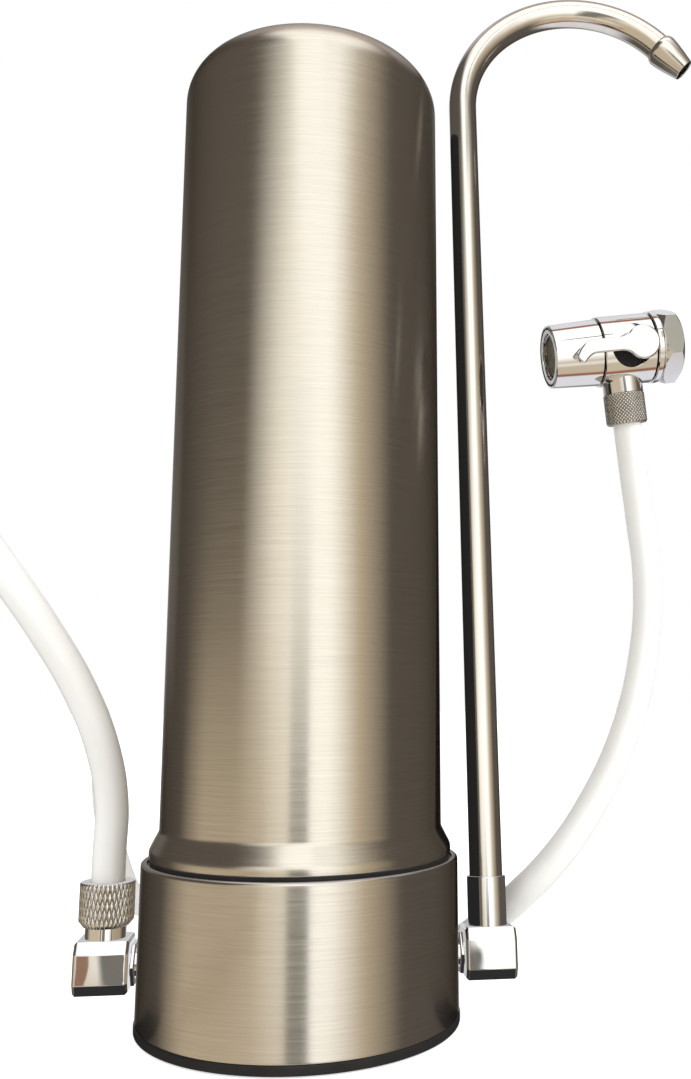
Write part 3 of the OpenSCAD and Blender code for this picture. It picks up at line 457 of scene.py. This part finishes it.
def can_line(inset):
    """The can's wall from the middle of its top down to its mouth, at that depth in the metal."""
    r = shoulder_r - inset
    turn = [math.pi / 2 * k / shoulder_steps for k in range(shoulder_steps + 1)]
    middle = can_r - shoulder_r
    bend = [(middle + r * math.sin(a), shoulder_z + r * math.cos(a)) for a in turn]
    side = can_r - inset
    straight = [(side, shoulder_z - 0.4), (side, 260), (side, 190), (side, 120), (side, cone_top + 1.0)]
    foot = [(side, cone_top), (skirt_r - inset, skirt_top), (skirt_r - inset, skirt_low)]
    flat = [(0, can_top - inset), (middle * 0.5, can_top - inset), (middle - 0.4, can_top - inset)]
    return flat + bend + straight + foot


bm = turned(can_line(0.0) + can_line(can_wall)[::-1], 256)
soften(bm, rim(bm, can_r, cone_top) + rim(bm, skirt_r, skirt_top), 0.7, 4)
soften(bm, rim(bm, skirt_r, skirt_low), 0.35)
piece(
    bm, "steel_canister", can_steel, "canister", "canister_steel", "canister_shell",
    even=False, mirrored=False,
)

# Inlet and outlet fittings
# Chromed brass: on each side a thin hexagon collar against the sleeve, then a square block with broad
# bevels along its length and faces crowned by the polishing. The left block has a round spigot on top for
# the hose nut.
port_z = 19.5
collar_near, collar_far, collar_flats, collar_gap = 53.1, 55.1, 12.9, 0.4
block_x, block_w, block_h, bevel_h, bevel_d, end_bevel, crown = 63.8, 17.4, 16.6, 3.6, 2.0, 0.8, 0.06
nipple_r, nipple_from, cut_x, cut_z = 4.85, 52.0, 1.8, 1.1
spigot_r, spigot_low, spigot_top, spigot_bore = 6.6, 27.0, 33.0, 4.2
lean = math.radians(5.25)
outlet_place = Matrix.Translation((block_x, 0, port_z)) @ Matrix.Rotation(-lean, 4, "X")
inlet_place = Matrix.Translation((-block_x, 0, port_z)) @ Matrix.Rotation(math.pi, 4, "Z")

chrome, tree, shader = new_finish("chrome", 1.0)
clouds = grain(tree, (90, 90, 90), 3.0)
tint(tree, clouds, (0.86, 0.86, 0.88), (0.93, 0.925, 0.92), shader.inputs["Base Color"])
spread(tree, grain(tree, (420, 420, 420), 4.0), 0.035, 0.085, shader.inputs["Roughness"])
relief(tree, grain(tree, (160, 160, 160), 2.0), 0.04, 0.00008, shader)


def rod(bm, r, low, high, place, sides=96):
    """Adds a plain cylinder along Z between two heights, put in its place."""
    bmesh.ops.create_cone(
        bm, cap_ends=True, segments=sides, radius1=r, radius2=r, depth=high - low,
        matrix=place @ Matrix.Translation((0, 0, (low + high) / 2)),
    )


for side, fitting in (("inlet", inlet_place), ("outlet", outlet_place)):
    to_sleeve = fitting @ Matrix.Rotation(-math.pi / 2, 4, "Y")
    bm = bmesh.new()
    rod(
        bm, collar_flats / 2 / math.cos(math.pi / 6), block_x - collar_far + collar_gap,
        block_x - collar_near - collar_gap, Matrix(), 6,
    )
    soften(bm, bm.edges[:], 0.25, 3)
    piece(bm, side + "_collar", chrome, "base", "chrome", side + "_hex", place=to_sleeve, mirrored=False)

    bm = bmesh.new()
    bmesh.ops.create_cube(bm, size=block_w)
    bmesh.ops.scale(bm, vec=(1.0, bevel_h / bevel_d, block_h / block_w), verts=bm.verts)
    long_edges = [e for e in bm.edges if abs(e.verts[0].co.x - e.verts[1].co.x) > 1.0]
    soften(bm, long_edges, bevel_h, 1)
    bmesh.ops.scale(bm, vec=(1.0, bevel_d / bevel_h, 1.0), verts=bm.verts)
    end_edges = [e for e in bm.edges if abs(e.verts[0].co.x - e.verts[1].co.x) < 1e-3]
    soften(bm, end_edges, end_bevel, 1)
    soften(bm, corners(bm, 15), 0.22, 3)
    for k in range(-4, 5):
        for place, way in (((k * cut_x, 0, 0), (1, 0, 0)), ((0, 0, k * cut_z), (0, 0, 1))):
            bmesh.ops.bisect_plane(
                bm, geom=bm.verts[:] + bm.edges[:] + bm.faces[:], plane_co=place, plane_no=way,
            )
    for v in bm.verts:
        v.co.y *= 1 + crown * (1 - (2 * v.co.x / block_w) ** 2) * (1 - (2 * v.co.z / block_h) ** 2)
    rod(bm, nipple_r, 0.0, block_x - nipple_from, Matrix.Rotation(-math.pi / 2, 4, "Y"))
    piece(bm, side + "_block", chrome, "base", "chrome", side + "_elbow", place=fitting, mirrored=False)

bm = turned(
    [(spigot_bore, spigot_low), (spigot_r, spigot_low), (spigot_r, spigot_top), (spigot_bore, spigot_top)],
    96, closed=True,
)
soften(bm, corners(bm, 60), 0.3)
inlet_stand = Matrix.Translation((-block_x, 0, 0))
piece(bm, "inlet_spigot", chrome, "base", "chrome", place=inlet_stand, mirrored=False)

# Hose nut at the inlet
# A chromed nut with a coarse, steep knurl, which presses the hose onto the spigot. Its lower end is coned.
nut_r, nut_bore, nut_low, nut_top = 8.9, 5.75, 31.5, 45.4
nut_cone_h, nut_cone_in, groove_slope = 1.9, 1.5, 2.4


def knurl(bm, r, low, high, count, pitch, depth):
    """Presses two crossing sets of grooves into the wall of radius r between two heights."""
    # Each vertex keeps how deep it sits in a groove; the nut's material paints shade there.
    groove = bm.verts.layers.float.new("groove")
    for v in bm.verts:
        if abs(v.co.xy.length - r) < 1e-3 and low - 1e-3 < v.co.z < high + 1e-3:
            turns = math.atan2(v.co.y, v.co.x) / math.tau * count
            climb = (v.co.z - low) / pitch
            ridge = min(abs((t % 1.0) * 2 - 1) for t in (turns + climb, turns - climb))
            v[groove] = 1 - min(1.0, groove_slope * ridge)
            v.co.xy *= 1 - depth * v[groove] / r


def knurled_nut(r, bore, low, high, cone_h, cone_in, count, pitch, depth, rows):
    """A round nut about Z: plain top rim, knurled wall, coned lower end."""
    top_edge = 0.35
    wall_low, wall_high = low + cone_h, high - top_edge
    rings = [(r, wall_low + (wall_high - wall_low) * k / rows) for k in range(rows + 1)]
    below, above = [(bore, low), (r - cone_in, low)], [(r - top_edge, high), (bore, high)]
    bm = turned(below + rings + above, count * 8, closed=True)
    knurl(bm, r, wall_low, wall_high, count, pitch, depth)
    return bm


nut_chrome, tree, shader = new_finish("nut_chrome", 1.0)
# The knurl's grooves are painted darker: painted shade in the grooves, not wear.
sunk = tree.nodes.new("ShaderNodeAttribute")
sunk.attribute_name = "groove"
groove_shade = tree.nodes.new("ShaderNodeMix")
groove_shade.data_type = "RGBA"
groove_shade.inputs["B"].default_value = (0.20, 0.19, 0.18, 1.0)
tree.links.new(sunk.outputs["Fac"], groove_shade.inputs["Factor"])
tint(tree, grain(tree, (300, 300, 300), 3.0), (0.80, 0.79, 0.77), (0.93, 0.92, 0.90), groove_shade.inputs["A"])
tree.links.new(groove_shade.outputs["Result"], shader.inputs["Base Color"])
spread(tree, grain(tree, (900, 900, 900), 3.0), 0.10, 0.20, shader.inputs["Roughness"])
bm = knurled_nut(nut_r, nut_bore, nut_low, nut_top, nut_cone_h, nut_cone_in, 36, 5.4, 0.34, 44)
piece(
    bm, "inlet_nut", nut_chrome, "base", "chrome", "inlet_hose_nut",
    place=inlet_stand, even=False, mirrored=False,
)

# Spout
# A chromed socket stands on the right block, leaned back a little. A bent stainless steel tube turns in it
# and ends in a nozzle with a round shoulder and a long taper.
turn = math.radians(3)
spout_place = outlet_place @ Matrix.Rotation(-turn, 4, "Z")
socket_r, socket_bore, socket_low, socket_top = 6.7, 5.8, 2.55, 24.2
tube_r, tube_wall, tube_low, tube_high = 5.75, 1.0, 13.9, 334.0
arch_r, arch_turn = 50.5, math.radians(137)
neck_r, nozzle_r, nozzle_l, tip_r, nozzle_bore = 5.85, 6.9, 16.0, 4.6, 3.7

spout_steel, tree, shader = new_finish("spout_steel", 1.0, Specular_Tint=(0.42, 0.38, 0.36, 1.0))
lines = grain(tree, (300, 300, 10), 3.0, 0.5)
tint(tree, lines, (0.83, 0.80, 0.755), (0.88, 0.85, 0.805), shader.inputs["Base Color"])
spread(tree, grain(tree, (260, 260, 20), 3.0), 0.12, 0.17, shader.inputs["Roughness"])
relief(tree, lines, 0.02, 0.00003, shader)

bm = turned(
    [(socket_bore, socket_low), (socket_r, socket_low), (socket_r, socket_top), (socket_bore, socket_top)],
    96, closed=True,
)
soften(bm, corners(bm, 60), 0.28)
piece(bm, "tube_socket", chrome, "base", "chrome", "spout_socket", place=spout_place, mirrored=False)

bm = bmesh.new()
bmesh.ops.create_circle(bm, segments=72, radius=tube_r)
bmesh.ops.translate(bm, vec=(0, 0, tube_low), verts=bm.verts)
ring = bm.edges[:]
for z in (120.0, 225.0, tube_high - 0.5, tube_high):
    grown = bmesh.ops.extrude_edge_only(bm, edges=ring)["geom"]
    ring = [g for g in grown if isinstance(g, bmesh.types.BMEdge)]
    for v in {v for e in ring for v in e.verts}:
        v.co.z = z
bmesh.ops.spin(
    bm, geom=ring + list({v for e in ring for v in e.verts}), cent=(arch_r, 0, tube_high), axis=(0, 1, 0),
    angle=arch_turn, steps=72,
)
bmesh.ops.remove_doubles(bm, verts=bm.verts, dist=1e-4)
bmesh.ops.recalc_face_normals(bm, faces=bm.faces)
bmesh.ops.solidify(bm, geom=bm.faces[:], thickness=tube_wall)
piece(bm, "bent_tube", spout_steel, "spout", "spout_steel", "spout_tube", place=spout_place, mirrored=False)

arch_end = Matrix.Translation(
    (arch_r * (1 - math.cos(arch_turn)), 0, tube_high + arch_r * math.sin(arch_turn))
) @ Matrix.Rotation(arch_turn, 4, "Y")
bm = turned(
    [
        (nozzle_bore, 0.1), (neck_r, 0.1), (nozzle_r - 0.35, 1.1), (nozzle_r, 2.4), (nozzle_r - 0.1, 4.0),
        (nozzle_r - 0.42, 6.4), (nozzle_r - 0.95, 9.4), (tip_r, nozzle_l), (nozzle_bore, nozzle_l),
    ],
    96, closed=True,
)
soften(bm, rim(bm, nozzle_r - 0.35, 1.1) + rim(bm, nozzle_r, 2.4), 0.5, 3)
soften(bm, rim(bm, tip_r, nozzle_l) + rim(bm, nozzle_bore, nozzle_l), 0.2)
piece(bm, "tube_nozzle", spout_steel, "spout", "spout_steel", "spout_nozzle", place=spout_place @ arch_end)

# Diverter body and outlet
# A chromed brass body on the far end of the hose. Its middle has a round pocket for the lever in front and
# a short boss below for the hose port; on the left is the outlet sleeve, with a bevelled mouth.
diverter = (
    Matrix.Translation((122, 12, 239.9)) @ Matrix.Rotation(math.radians(-7.5), 4, "Y")
    @ Matrix.Rotation(math.radians(8), 4, "X")
)
along = diverter @ Matrix.Rotation(math.pi / 2, 4, "Y")
across_body = Matrix.Rotation(-math.pi / 2, 4, "Y")
body_r, body_low, body_high, body_bore = 13.8, -9.5, 11.5, 8.2
pocket_x, pocket_r, pocket_floor = 1.6, 8.7, 9.0
boss_r, boss_low, boss_from, boss_fillet = 7.8, -17.4, -9.2, 1.5
mouth_r, joint_r, mouth_x, joint_x, mouth_bore, sleeve_bore = 12.3, 13.1, -28.6, -9.6, 11.5, 9.5


def carve(bm, tool, how):
    """The solid bm with the solid tool taken off it, or kept where both are."""
    pair = []
    for shape in (bm, tool):
        mesh = bpy.data.meshes.new("carve")
        shape.to_mesh(mesh)
        shape.free()
        pair.append(bpy.data.objects.new("carve", mesh))
        scene.collection.objects.link(pair[-1])
    cutter = pair[0].modifiers.new("carve", "BOOLEAN")
    cutter.object = pair[1]
    cutter.operation = how
    cutter.solver = "EXACT"
    bpy.context.view_layer.update()
    done = bmesh.new()
    done.from_object(pair[0], bpy.context.evaluated_depsgraph_get())
    for obj in pair:
        bpy.data.meshes.remove(obj.data)
    bmesh.ops.remove_doubles(done, verts=done.verts, dist=1e-4)
    return done


bm = turned(
    [
        (body_bore, body_low), (body_r - 0.5, body_low), (body_r, body_low + 0.4), (body_r, body_high - 0.4),
        (body_r - 0.5, body_high), (body_bore, body_high),
    ],
    160, closed=True,
)
tool = bmesh.new()
front = Matrix.Translation((pocket_x, 0, 0)) @ Matrix.Rotation(math.pi / 2, 4, "X")
rod(tool, pocket_r, pocket_floor, body_r + 4, across_body @ front)
bm = carve(bm, tool, "DIFFERENCE")
tool = bmesh.new()
rod(tool, boss_r, boss_low, boss_from, across_body)
bm = carve(bm, tool, "UNION")
seam = [
    e for e in corners(bm, 20)
    if all(abs(v.co.yz.length - boss_r) + abs(v.co.xy.length - body_r) < 0.02 for v in e.verts)
]
soften(bm, seam, boss_fillet, 6)
soften(bm, corners(bm, 38), 0.18, 2)
piece(bm, "valve_body", chrome, "base", "chrome", "diverter_body", place=along)

# A thin black half-disc on the pocket's floor: painted shade in the lower half of the pocket.
bm = turned([(0, 0), (pocket_r - 0.2, 0), (pocket_r - 0.2, 0.25), (0, 0.25)], 96)
cut = bmesh.ops.bisect_plane(
    bm, geom=bm.verts[:] + bm.edges[:] + bm.faces[:], plane_co=(0, 0.5, 0), plane_no=(0, 1, 0),
    clear_outer=True,
)
bmesh.ops.edgeloop_fill(bm, edges=[e for e in cut["geom_cut"] if isinstance(e, bmesh.types.BMEdge)])
piece(
    bm, "pocket_shade_disc", black_rubber, "base", "rubber",
    place=diverter @ front @ Matrix.Translation((0, 0, pocket_floor - 0.02)),
)

bm = turned(
    [
        (sleeve_bore, mouth_x + 1.3), (mouth_bore, mouth_x + 1.3), (mouth_bore, mouth_x + 0.2),
        (mouth_bore + 0.2, mouth_x), (mouth_r - 0.3, mouth_x), (mouth_r, mouth_x + 0.3),
        (joint_r, joint_x - 0.4), (joint_r - 0.5, joint_x), (sleeve_bore, joint_x),
    ],
    160, closed=True,
)
piece(bm, "outlet_sleeve", chrome, "base", "chrome", "diverter_outlet", place=along)

# Hose nut at the diverter
# A chromed nut with a fine diamond knurl, which holds the hose on the port.
far_nut_r, far_nut_low, far_nut_top = 8.0, -29.5, -17.5
bm = knurled_nut(far_nut_r, nut_bore, far_nut_low, far_nut_top, 0.6, 0.5, 34, 1.45, 0.42, 72)
piece(bm, "diverter_nut", nut_chrome, "base", "chrome", "diverter_hose_nut", place=diverter, even=False)

# Aerator screen
# A woven disc of fine steel wire in the outlet's mouth, with a black disc behind it as painted shade,
# so that the mesh looks dark. Round it are the aerator's chromed rim and a black seal that fills the
# gap to the sleeve.
screen_x, screen_r, screen_mesh = -26.5, 8.5, 26
rim_in, rim_out, rim_x, shade_disc_r = 9.1, 10.7, -28.5, 9.4
mesh_steel, tree, shader = new_finish("mesh_steel", 1.0)
tint(tree, grain(tree, (700, 700, 700)), (0.30, 0.30, 0.27), (0.50, 0.49, 0.44), shader.inputs["Base Color"])
spread(tree, grain(tree, (1500, 1500, 1500)), 0.3, 0.45, shader.inputs["Roughness"])
bm = bmesh.new()
bmesh.ops.create_grid(bm, x_segments=screen_mesh, y_segments=screen_mesh, size=screen_r)
outside = [v for v in bm.verts if v.co.length > screen_r]
bmesh.ops.delete(bm, geom=outside, context="VERTS")
for v in bm.verts:
    v.co.z = 0.12 * math.sin(v.co.x * 7.0) * math.sin(v.co.y * 7.0)
bmesh.ops.wireframe(
    bm, faces=bm.faces[:], thickness=0.22, use_replace=True, use_even_offset=True, use_boundary=True,
)
piece(
    bm, "wire_screen", mesh_steel, "base", "zinc", "aerator_screen",
    place=along @ Matrix.Translation((0, 0, screen_x)), even=False,
)
ring_line = [(rim_in, rim_x), (rim_out, rim_x), (rim_out, rim_x + 1.1), (rim_in, rim_x + 1.1)]
bm = turned(ring_line, 128, closed=True)
soften(bm, corners(bm, 60), 0.15, 2)
piece(bm, "aerator_rim", chrome, "base", "chrome", place=along)
ring_line = [(screen_r, rim_x + 1), (8.8, rim_x + 1), (8.8, screen_x), (screen_r, screen_x)]
bm = turned(ring_line, 128, closed=True)
piece(bm, "aerator_ring", chrome, "base", "chrome", place=along)
seal_in, seal_out = rim_out - 0.1, mouth_bore + 0.1
ring_line = [(seal_in, rim_x + 0.4), (seal_out, rim_x + 0.4), (seal_out, rim_x + 1), (seal_in, rim_x + 1)]
bm = turned(ring_line, 128, closed=True)
piece(bm, "aerator_seal", black_rubber, "base", "rubber", place=along)
# A black disc just behind the screen: painted shade in the aerator's mouth.
shade_disc_low, shade_disc_high = screen_x + 0.3, screen_x + 0.6
bm = turned([(0, shade_disc_low), (shade_disc_r, shade_disc_low), (shade_disc_r, shade_disc_high), (0, shade_disc_high)], 96)
piece(bm, "aerator_shade_disc", black_rubber, "base", "rubber", place=along)

# Lever
# A chromed lever in one piece: a round head and a flat arm along the body, whose end hooks down. A stem
# under the head stands in the body's pocket.
lever_x, head_r, lever_back, lever_t = 4.9, 6.6, -14.1, 2.8
stem_r, stem_in = 4.8, 4.8
head_turn = 142
arm_line = [
    (-6.1, -3.4), (-7.2, -2.95), (-8.6, -2.72), (-14.0, -2.7), (-18.9, -2.72), (-20.4, -3.1), (-21.6, -3.85),
    (-22.8, -4.9), (-23.5, -5.8), (-24.3, -6.2), (-25.2, -5.85), (-26.1, -4.9), (-26.7, -3.9), (-26.7, -3.3),
    (-26.1, -2.2), (-25.3, -0.9), (-24.3, 0.35), (-23.0, 1.5), (-21.6, 2.25), (-20.0, 2.62), (-18.4, 2.7),
    (-14.0, 2.7), (-8.6, 2.72), (-7.2, 2.95), (-6.1, 3.4),
]
head_line = [
    (head_r * math.cos(math.radians(a)), head_r * math.sin(math.radians(a)))
    for a in range(head_turn, -head_turn - 1, -4)
]
bm = bmesh.new()
outline = bm.faces.new([bm.verts.new((x, z, 0)) for x, z in head_line + arm_line])
grown = bmesh.ops.extrude_face_region(bm, geom=[outline])["geom"]
raised = [g for g in grown if isinstance(g, bmesh.types.BMVert)]
bmesh.ops.translate(bm, vec=(0, 0, lever_t), verts=raised)
bmesh.ops.recalc_face_normals(bm, faces=bm.faces)
soften(bm, corners(bm, 60), 0.8, 6)
rod(bm, stem_r, -stem_in, 0.5, Matrix())
piece(
    bm, "lever_plate", chrome, "lever", "chrome", "lever",
    place=diverter @ Matrix.Translation((lever_x, lever_back, 0)) @ Matrix.Rotation(math.pi / 2, 4, "X"),
)

# Tap nut
# A chromed nut that spins on the diverter's end and screws onto the tap: a round collar, then a hexagon
# with coned corners, threaded inside.
collar_r, collar_low, hex_low, hex_high, hex_turn = 14.2, 11.8, 15.1, 22.5, math.radians(20)
hex_flats, thread_r, thread_low, thread_pitch = 27.0, 10.45, 17.0, 1.0
hex_corner = hex_flats / 2 / math.cos(math.pi / 6)
bm = bmesh.new()
rod(bm, hex_corner, hex_low - 0.2, hex_high + 0.2, Matrix.Rotation(hex_turn, 4, "Z"), 6)
thread = []
for k in range(5):
    at = thread_low + 0.3 + k * thread_pitch
    thread += [(thread_r + 0.45, at), (thread_r, at + thread_pitch / 2)]
outside = [
    (thread_r + 0.5, hex_high), (hex_flats / 2 - 0.2, hex_high), (hex_corner + 0.1, hex_high - 2.0),
    (hex_corner + 0.1, hex_low + 1.8), (hex_flats / 2 + 0.3, hex_low),
]
tool = turned([(thread_r, hex_low)] + thread + outside, 160, closed=True)
bm = carve(bm, tool, "INTERSECT")
outer = hex_flats / 2 - 0.4
soften(bm, [e for e in corners(bm, 20) if min(v.co.xy.length for v in e.verts) > outer], 0.18, 2)
piece(bm, "tap_hexagon", chrome, "tap_nut", "chrome", "tap_nut", place=along)
bm = turned(
    [
        (8.8, collar_low), (collar_r - 0.4, collar_low), (collar_r, collar_low + 0.4),
        (collar_r, hex_low - 0.9), (collar_r - 0.9, hex_low), (8.8, hex_low),
    ],
    160, closed=True,
)
soften(bm, rim(bm, collar_r, hex_low - 0.9), 0.3)
piece(bm, "tap_collar", chrome, "tap_nut", "chrome", place=along)

# Inner pieces
# What the outside hides: moulded plastic, the carbon cartridge, springs, seals and brass. Each keeps its
# solid and takes a finish of its own.
white_plastic, tree, shader = new_finish("white_plastic", 0.0)
tint(tree, grain(tree, (80, 80, 80)), (0.72, 0.72, 0.70), (0.80, 0.80, 0.78), shader.inputs["Base Color"])
spread(tree, grain(tree, (600, 600, 600)), 0.38, 0.5, shader.inputs["Roughness"])
black_plastic, tree, shader = new_finish("black_plastic", 0.0)
tint(tree, grain(tree, (80, 80, 80)), (0.016, 0.016, 0.017), (0.03, 0.03, 0.03), shader.inputs["Base Color"])
spread(tree, grain(tree, (900, 900, 900)), 0.36, 0.5, shader.inputs["Roughness"])
carbon, tree, shader = new_finish("carbon", 0.0)
grit = grain(tree, (900, 900, 900), 5.0)
tint(tree, grit, (0.008, 0.008, 0.008), (0.035, 0.034, 0.033), shader.inputs["Base Color"])
spread(tree, grit, 0.8, 0.95, shader.inputs["Roughness"])
relief(tree, grit, 0.5, 0.0003, shader)
wrap, tree, shader = new_finish("wrap", 0.0)
fibres = grain(tree, (500, 500, 700), 5.0)
tint(tree, fibres, (0.74, 0.73, 0.70), (0.84, 0.83, 0.80), shader.inputs["Base Color"])
spread(tree, fibres, 0.8, 0.95, shader.inputs["Roughness"])
relief(tree, fibres, 0.4, 0.0002, shader)
brass, tree, shader = new_finish("brass", 1.0)
tint(tree, grain(tree, (120, 120, 120)), (0.66, 0.50, 0.22), (0.76, 0.60, 0.30), shader.inputs["Base Color"])
spread(tree, grain(tree, (500, 500, 500)), 0.2, 0.34, shader.inputs["Roughness"])
zinc, tree, shader = new_finish("zinc", 1.0)
tint(tree, grain(tree, (150, 150, 150)), (0.52, 0.53, 0.54), (0.66, 0.66, 0.67), shader.inputs["Base Color"])
spread(tree, grain(tree, (600, 600, 600)), 0.28, 0.42, shader.inputs["Roughness"])
collar_metal, tree, shader = new_finish("collar_metal", 1.0)
lines = grain(tree, (40, 40, 900), 4.0)
tint(tree, lines, (0.50, 0.49, 0.47), (0.64, 0.63, 0.61), shader.inputs["Base Color"])
spread(tree, lines, 0.26, 0.4, shader.inputs["Roughness"])

finish_of_slot = {
    "canister_steel": can_steel, "sleeve_steel": sleeve_steel, "spout_steel": spout_steel, "chrome": chrome,
    "rubber": black_rubber, "black_plastic": black_plastic, "white_plastic": white_plastic, "carbon": carbon,
    "wrap": wrap, "collar_metal": collar_metal, "zinc": zinc, "brass": brass,
}

# Hose
# One length of stiff white polyethylene hose. It rises from the inlet nut, loops back down to the bench
# behind the filter, and climbs on the right into the diverter, which it carries.
hose_r = 0.0055
hose_points = [
    (-63.8, 0, 36.2), (-63.8, 0, 54), (-63.6, -1, 70), (-66.3, -6, 88), (-73.2, -12, 107),
    (-84.2, -19, 127), (-97.5, -26, 147), (-111.5, -24, 165), (-124.5, -11.5, 180), (-133.5, 7, 187.5),
    (-137.5, 30.5, 186.5), (-133, 54.5, 174.5), (-123.5, 68, 158.5), (-108, 80, 133), (-94.5, 90, 108),
    (-86.5, 100, 83), (-84.5, 109, 56.5), (-80.5, 119, 32), (-74.5, 136.5, 14.5), (-63, 159.5, 7),
    (-43, 176.5, 6), (-20, 182, 6), (2.5, 176.5, 6), (19.5, 163, 6), (31, 140.5, 6), (35, 115, 6),
    (38.5, 90, 6), (47, 65, 7), (56.5, 42.5, 11.5), (67, 27, 22), (78, 18.5, 33), (92, 15.5, 47),
    (106, 16, 65), (119.2, 15.5, 90), (128.7, 17.2, 120), (132.3, 19.6, 148.5), (130.6, 20.2, 174),
    (128.2, 18.6, 193.3), (126.524, 16.871, 205.537), (124.973, 15.201, 217.319),
]
hose_white, tree, shader = new_finish("hose_white", 0.0, Subsurface_Weight=0.12, Subsurface_Scale=0.004)
shader.inputs["Subsurface Radius"].default_value = (1.0, 0.9, 0.75)
clouds = grain(tree, (45, 45, 45), 3.0)
tint(tree, clouds, (0.90, 0.885, 0.845), (0.935, 0.925, 0.89), shader.inputs["Base Color"])
spread(tree, grain(tree, (300, 300, 300), 3.0), 0.16, 0.27, shader.inputs["Roughness"])
relief(tree, grain(tree, (220, 220, 220), 2.0), 0.05, 0.0001, shader)
curve = bpy.data.curves.new("white_hose", "CURVE")
curve.dimensions = "3D"
curve.bevel_depth = hose_r
curve.bevel_resolution = 9
curve.resolution_u = 8
curve.use_fill_caps = True
line = curve.splines.new("BEZIER")
line.bezier_points.add(len(hose_points) - 1)
for point, place in zip(line.bezier_points, hose_points):
    point.co = Vector(place) / 1000
    point.handle_left_type = point.handle_right_type = "AUTO"
curve.materials.append(hose_white)
hose = bpy.data.objects.new("white_hose", curve)
scene.collection.objects.link(hose)
hose.visible_glossy = False
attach(hose, "base")
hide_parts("hose")
finish_of_slot["hose"] = hose_white
for row in frame["record"]["subparts"]:
    node = frame["nodes"][row["node"]]
    node.data.materials.clear()
    node.data.materials.append(finish_of_slot[row["material_slot"]])
    node.visible_glossy = False
